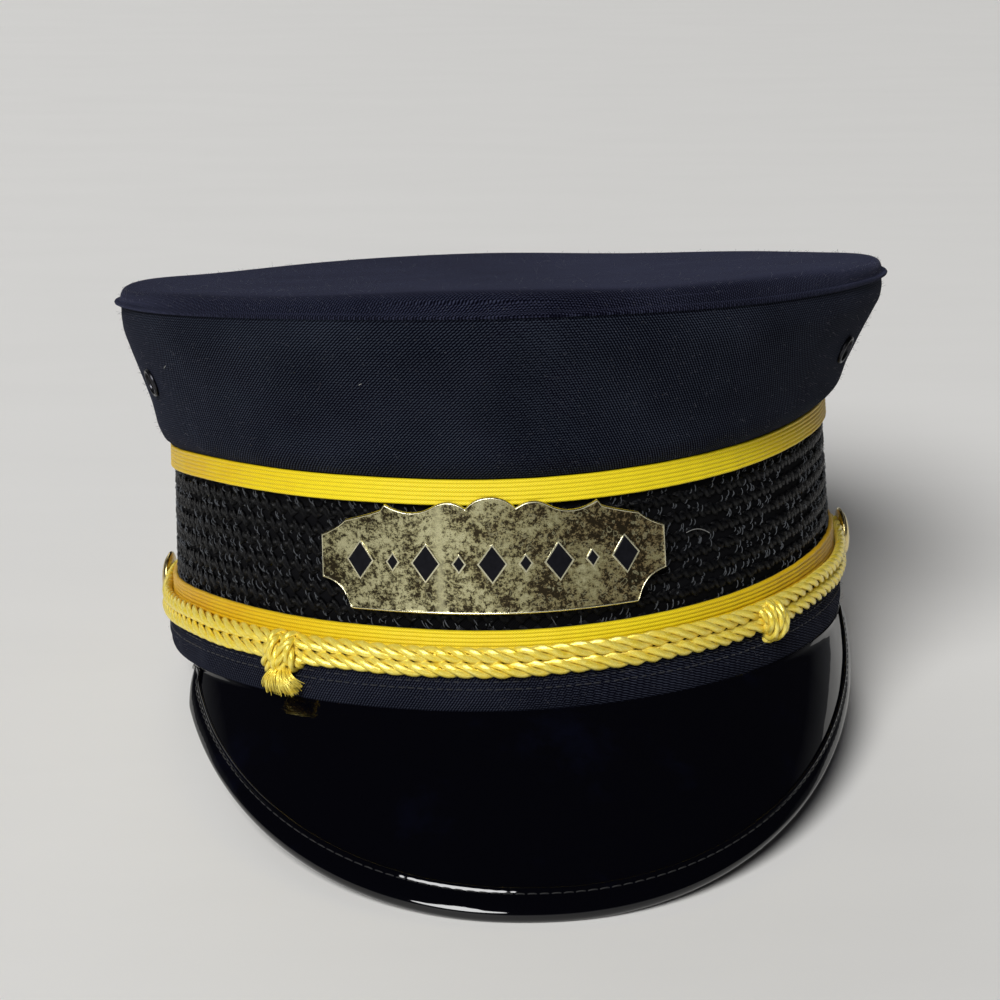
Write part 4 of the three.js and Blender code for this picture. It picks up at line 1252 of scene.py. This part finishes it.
# The binding's section as (inset, offset above the sheet's middle): a round nose, a leaf that
# dips at the stitches and comes down to the sheet, and the same below.
def bindingSection():
    inside = 0.5 * peakSet["sheet"] + 0.04
    outside = 0.5 * peakSet["sheet"] + fit + peakSet["leaf"]
    turn = np.radians(np.arange(0, 91, 9))
    nose = np.stack([0.85 * outside * (1 - np.cos(turn)), outside * np.sin(turn)], -1)
    leaf = [[inset, outside - drop] for inset, drop in leafDips]
    upper = np.array([*nose, *leaf, [7.3, inside + 0.15], [7.2, inside]])
    back = np.array([[peakSet["leaf"], inside], [peakSet["leaf"], -inside]])
    lower = upper[::-1] * [1, -1]
    return np.concatenate([upper, back, lower[:-1]]), outside


def makeBinding():
    stations = peakStations(np.linspace(0, 1, 2 * peakSet["columns"]))
    section, outside = bindingSection()
    length = peakLength(stations)[:, None]
    fold = peakSet["leaf"] + fit
    reach = np.minimum(peakSet["bindingWidth"], stations[3] - fit)[:, None]
    inset = section[None, :, 0] + 0 * length
    shrunk = fold + (inset - fold) * (reach - fold) / (peakSet["bindingWidth"] - fold)
    inset = np.where(inset <= fold, inset, shrunk)
    pitch = peakSet["stitchPitch"]
    puckered = blendTo(np.abs(section[:, 1]), 0.5, 1.2) * blendTo(section[:, 0], 1.2, 4.5)
    wave = 0.3 * np.sin(2 * np.pi * length / pitch) + 1.4 * np.sin(length / 2.9 + 1)
    wave = wave + 1.6 * np.sin(length / 5.3)
    offset = section[None, :, 1] + np.sign(section[:, 1]) * peakSet["pucker"] * puckered * wave * 0.5
    rings = peakPoint(stations, inset, offset * peakThinning(2 * peakSet["columns"]))
    rings[..., 2] = np.maximum(rings[..., 2], 0)
    shape = newShape()
    addLoft(shape, rings, peakUv(stations, inset))
    makePiece(shape, "peak_binding_patent", [patentFinish], ["peak_binding"])
    makeBindingStitches(outside)


def makeBindingStitches(outside):
    shares = np.linspace(0, 1, 400)
    lengths = peakLength(peakStations(shares))
    places = np.arange(4, lengths[-1] - 4, peakSet["stitchPitch"])
    steps = np.linspace(-1, 1, 5)
    along = places[:, None] + 0.38 * peakSet["stitchPitch"] * steps
    share = np.interp(along.ravel(), lengths, shares)
    stations = peakStations(share)
    keep = stations[3].reshape(along.shape).min(axis=1) > peakSet["bindingWidth"] + 1
    inset = np.full((len(share), 1), peakSet["stitchInset"])
    offset = outside - 0.22 - 0.3 * np.tile(steps ** 4, len(places))[:, None]
    paths = peakPoint(stations, inset, offset)[:, 0].reshape(*along.shape, 3)
    shape = newShape()
    addTubes(shape, paths[keep], 0.16, 6)
    makePiece(shape, "peak_stitches", [blackThread])


makeHeadBand()
makeBandStitches()
makeBraid("upper_braid_corded", trimSet["upperTop"], "upper_braid", upperFinish)
makeBraid("lower_braid_corded", trimSet["lowerTop"], "lower_braid", lowerFinish)
makeMeshBand()
makeMeshGlints()
crownPiece = makeCrownSide()
makeCrownTop()
makeVents(crownPiece)
makeLint()
makeFuzz()
makePaleLint()
makeChinCord()
makeFrayedEnd()
makeNameplate()
makeButtons()
makePeak()
makeBinding()
print("cap made")

cameraSet = {
    "place": (-9.75, -557.45, 238.56), "yaw": 0.985, "pitch": 18.587, "roll": 0.099,
    "focalPixels": 2193.2, "imagePixels": 1000, "sensor": 36,
}


def makeCamera():
    yaw, pitch, roll = (np.radians(cameraSet[key]) for key in ("yaw", "pitch", "roll"))
    forward = np.array([np.sin(yaw) * np.cos(pitch), np.cos(yaw) * np.cos(pitch), -np.sin(pitch)])
    right = np.array([np.cos(yaw), -np.sin(yaw), 0])
    above = np.cross(right, forward)
    turnedRight = right * np.cos(roll) + above * np.sin(roll)
    turnedUp = above * np.cos(roll) - right * np.sin(roll)
    data = bpy.data.cameras.new("camera")
    data.sensor_width = cameraSet["sensor"]
    data.lens = cameraSet["focalPixels"] * cameraSet["sensor"] / cameraSet["imagePixels"]
    data.clip_start, data.clip_end = 0.01, 50
    camera = addObject("camera", data)
    axes = Matrix(np.array([turnedRight, turnedUp, -forward]).T.tolist()).to_4x4()
    camera.matrix_world = Matrix.Translation(Vector(cameraSet["place"]) * metre) @ axes
    bpy.context.scene.camera = camera


floorSet = {"size": 9.0, "drop": 0.0002, "pale": (0.84, 0.83, 0.805), "streak": (0.82, 0.81, 0.785)}


def makeFloor():
    mesh = bpy.data.meshes.new("floor")
    half = 0.5 * floorSet["size"]
    level = -floorSet["drop"]
    corners = [(x * half, y * half, level) for x, y in ((-1, -1), (1, -1), (1, 1), (-1, 1))]
    mesh.from_pydata(corners, [], [(0, 1, 2, 3)])
    finish, tree, shader = newFinish("pale painted floor", Roughness=0.55, Specular_IOR_Level=0.3)
    grain = addNode(tree, "ShaderNodeMapping", {"Vector": solidPlace(tree), "Scale": (4, 14, 1)})
    streaks = noise(tree, grain.outputs["Vector"], 0.5, 5)
    giveColour(tree, shader, colourMix(
        tree, spread(tree, streaks, 0.35, 0.8), floorSet["pale"], floorSet["streak"]))
    giveBump(tree, shader, streaks, 0.1, 0.05)
    mesh.materials.append(finish)
    floor = addObject("floor", mesh)


# Soft studio light from the front left, a weaker one from behind, and a pale horizon under a
# dark ceiling, so that the peak mirrors little.
lightSet = {
    "key": {"way": (0.31, 0.69, -0.65), "angle": 30, "strength": 3.4},
    "back": {"way": (0.3, -0.75, -0.6), "angle": 40, "strength": 0.38},
    "horizon": (0.52, 0.53, 0.54), "ceiling": (0.016, 0.016, 0.02), "low": 0.0, "high": 0.26, "aside": 0.24,
}


def makeLights():
    for name in ("key", "back"):
        settings = lightSet[name]
        data = bpy.data.lights.new(name, "SUN")
        data.angle, data.energy = np.radians(settings["angle"]), settings["strength"]
        aim = Vector(settings["way"]).to_track_quat("-Z", "Y")
        addObject(name, data).rotation_euler = aim.to_euler()
    world = bpy.data.worlds.new("studio")
    world.use_nodes = True
    tree = world.node_tree
    direction = addNode(tree, "ShaderNodeTexCoord", {}).outputs["Generated"]
    parts = addNode(tree, "ShaderNodeSeparateXYZ", {"Vector": direction}).outputs
    ahead = spread(tree, parts["Y"], -0.92, -0.5, 0, 1 - lightSet["aside"])
    horizon = colourMix(tree, ahead, lightSet["horizon"], (0, 0, 0))
    colour = colourMix(tree, spread(tree, parts["Z"], lightSet["low"], lightSet["high"]), horizon,
                       lightSet["ceiling"])
    sky = tree.nodes["Background"]
    tree.links.new(colour, sky.inputs["Color"])
    sky.inputs["Strength"].default_value = 1
    bpy.context.scene.world = world
    bpy.context.scene.view_settings.view_transform = "Standard"


makeCamera()
makeFloor()
makeLights()
print("studio ready")
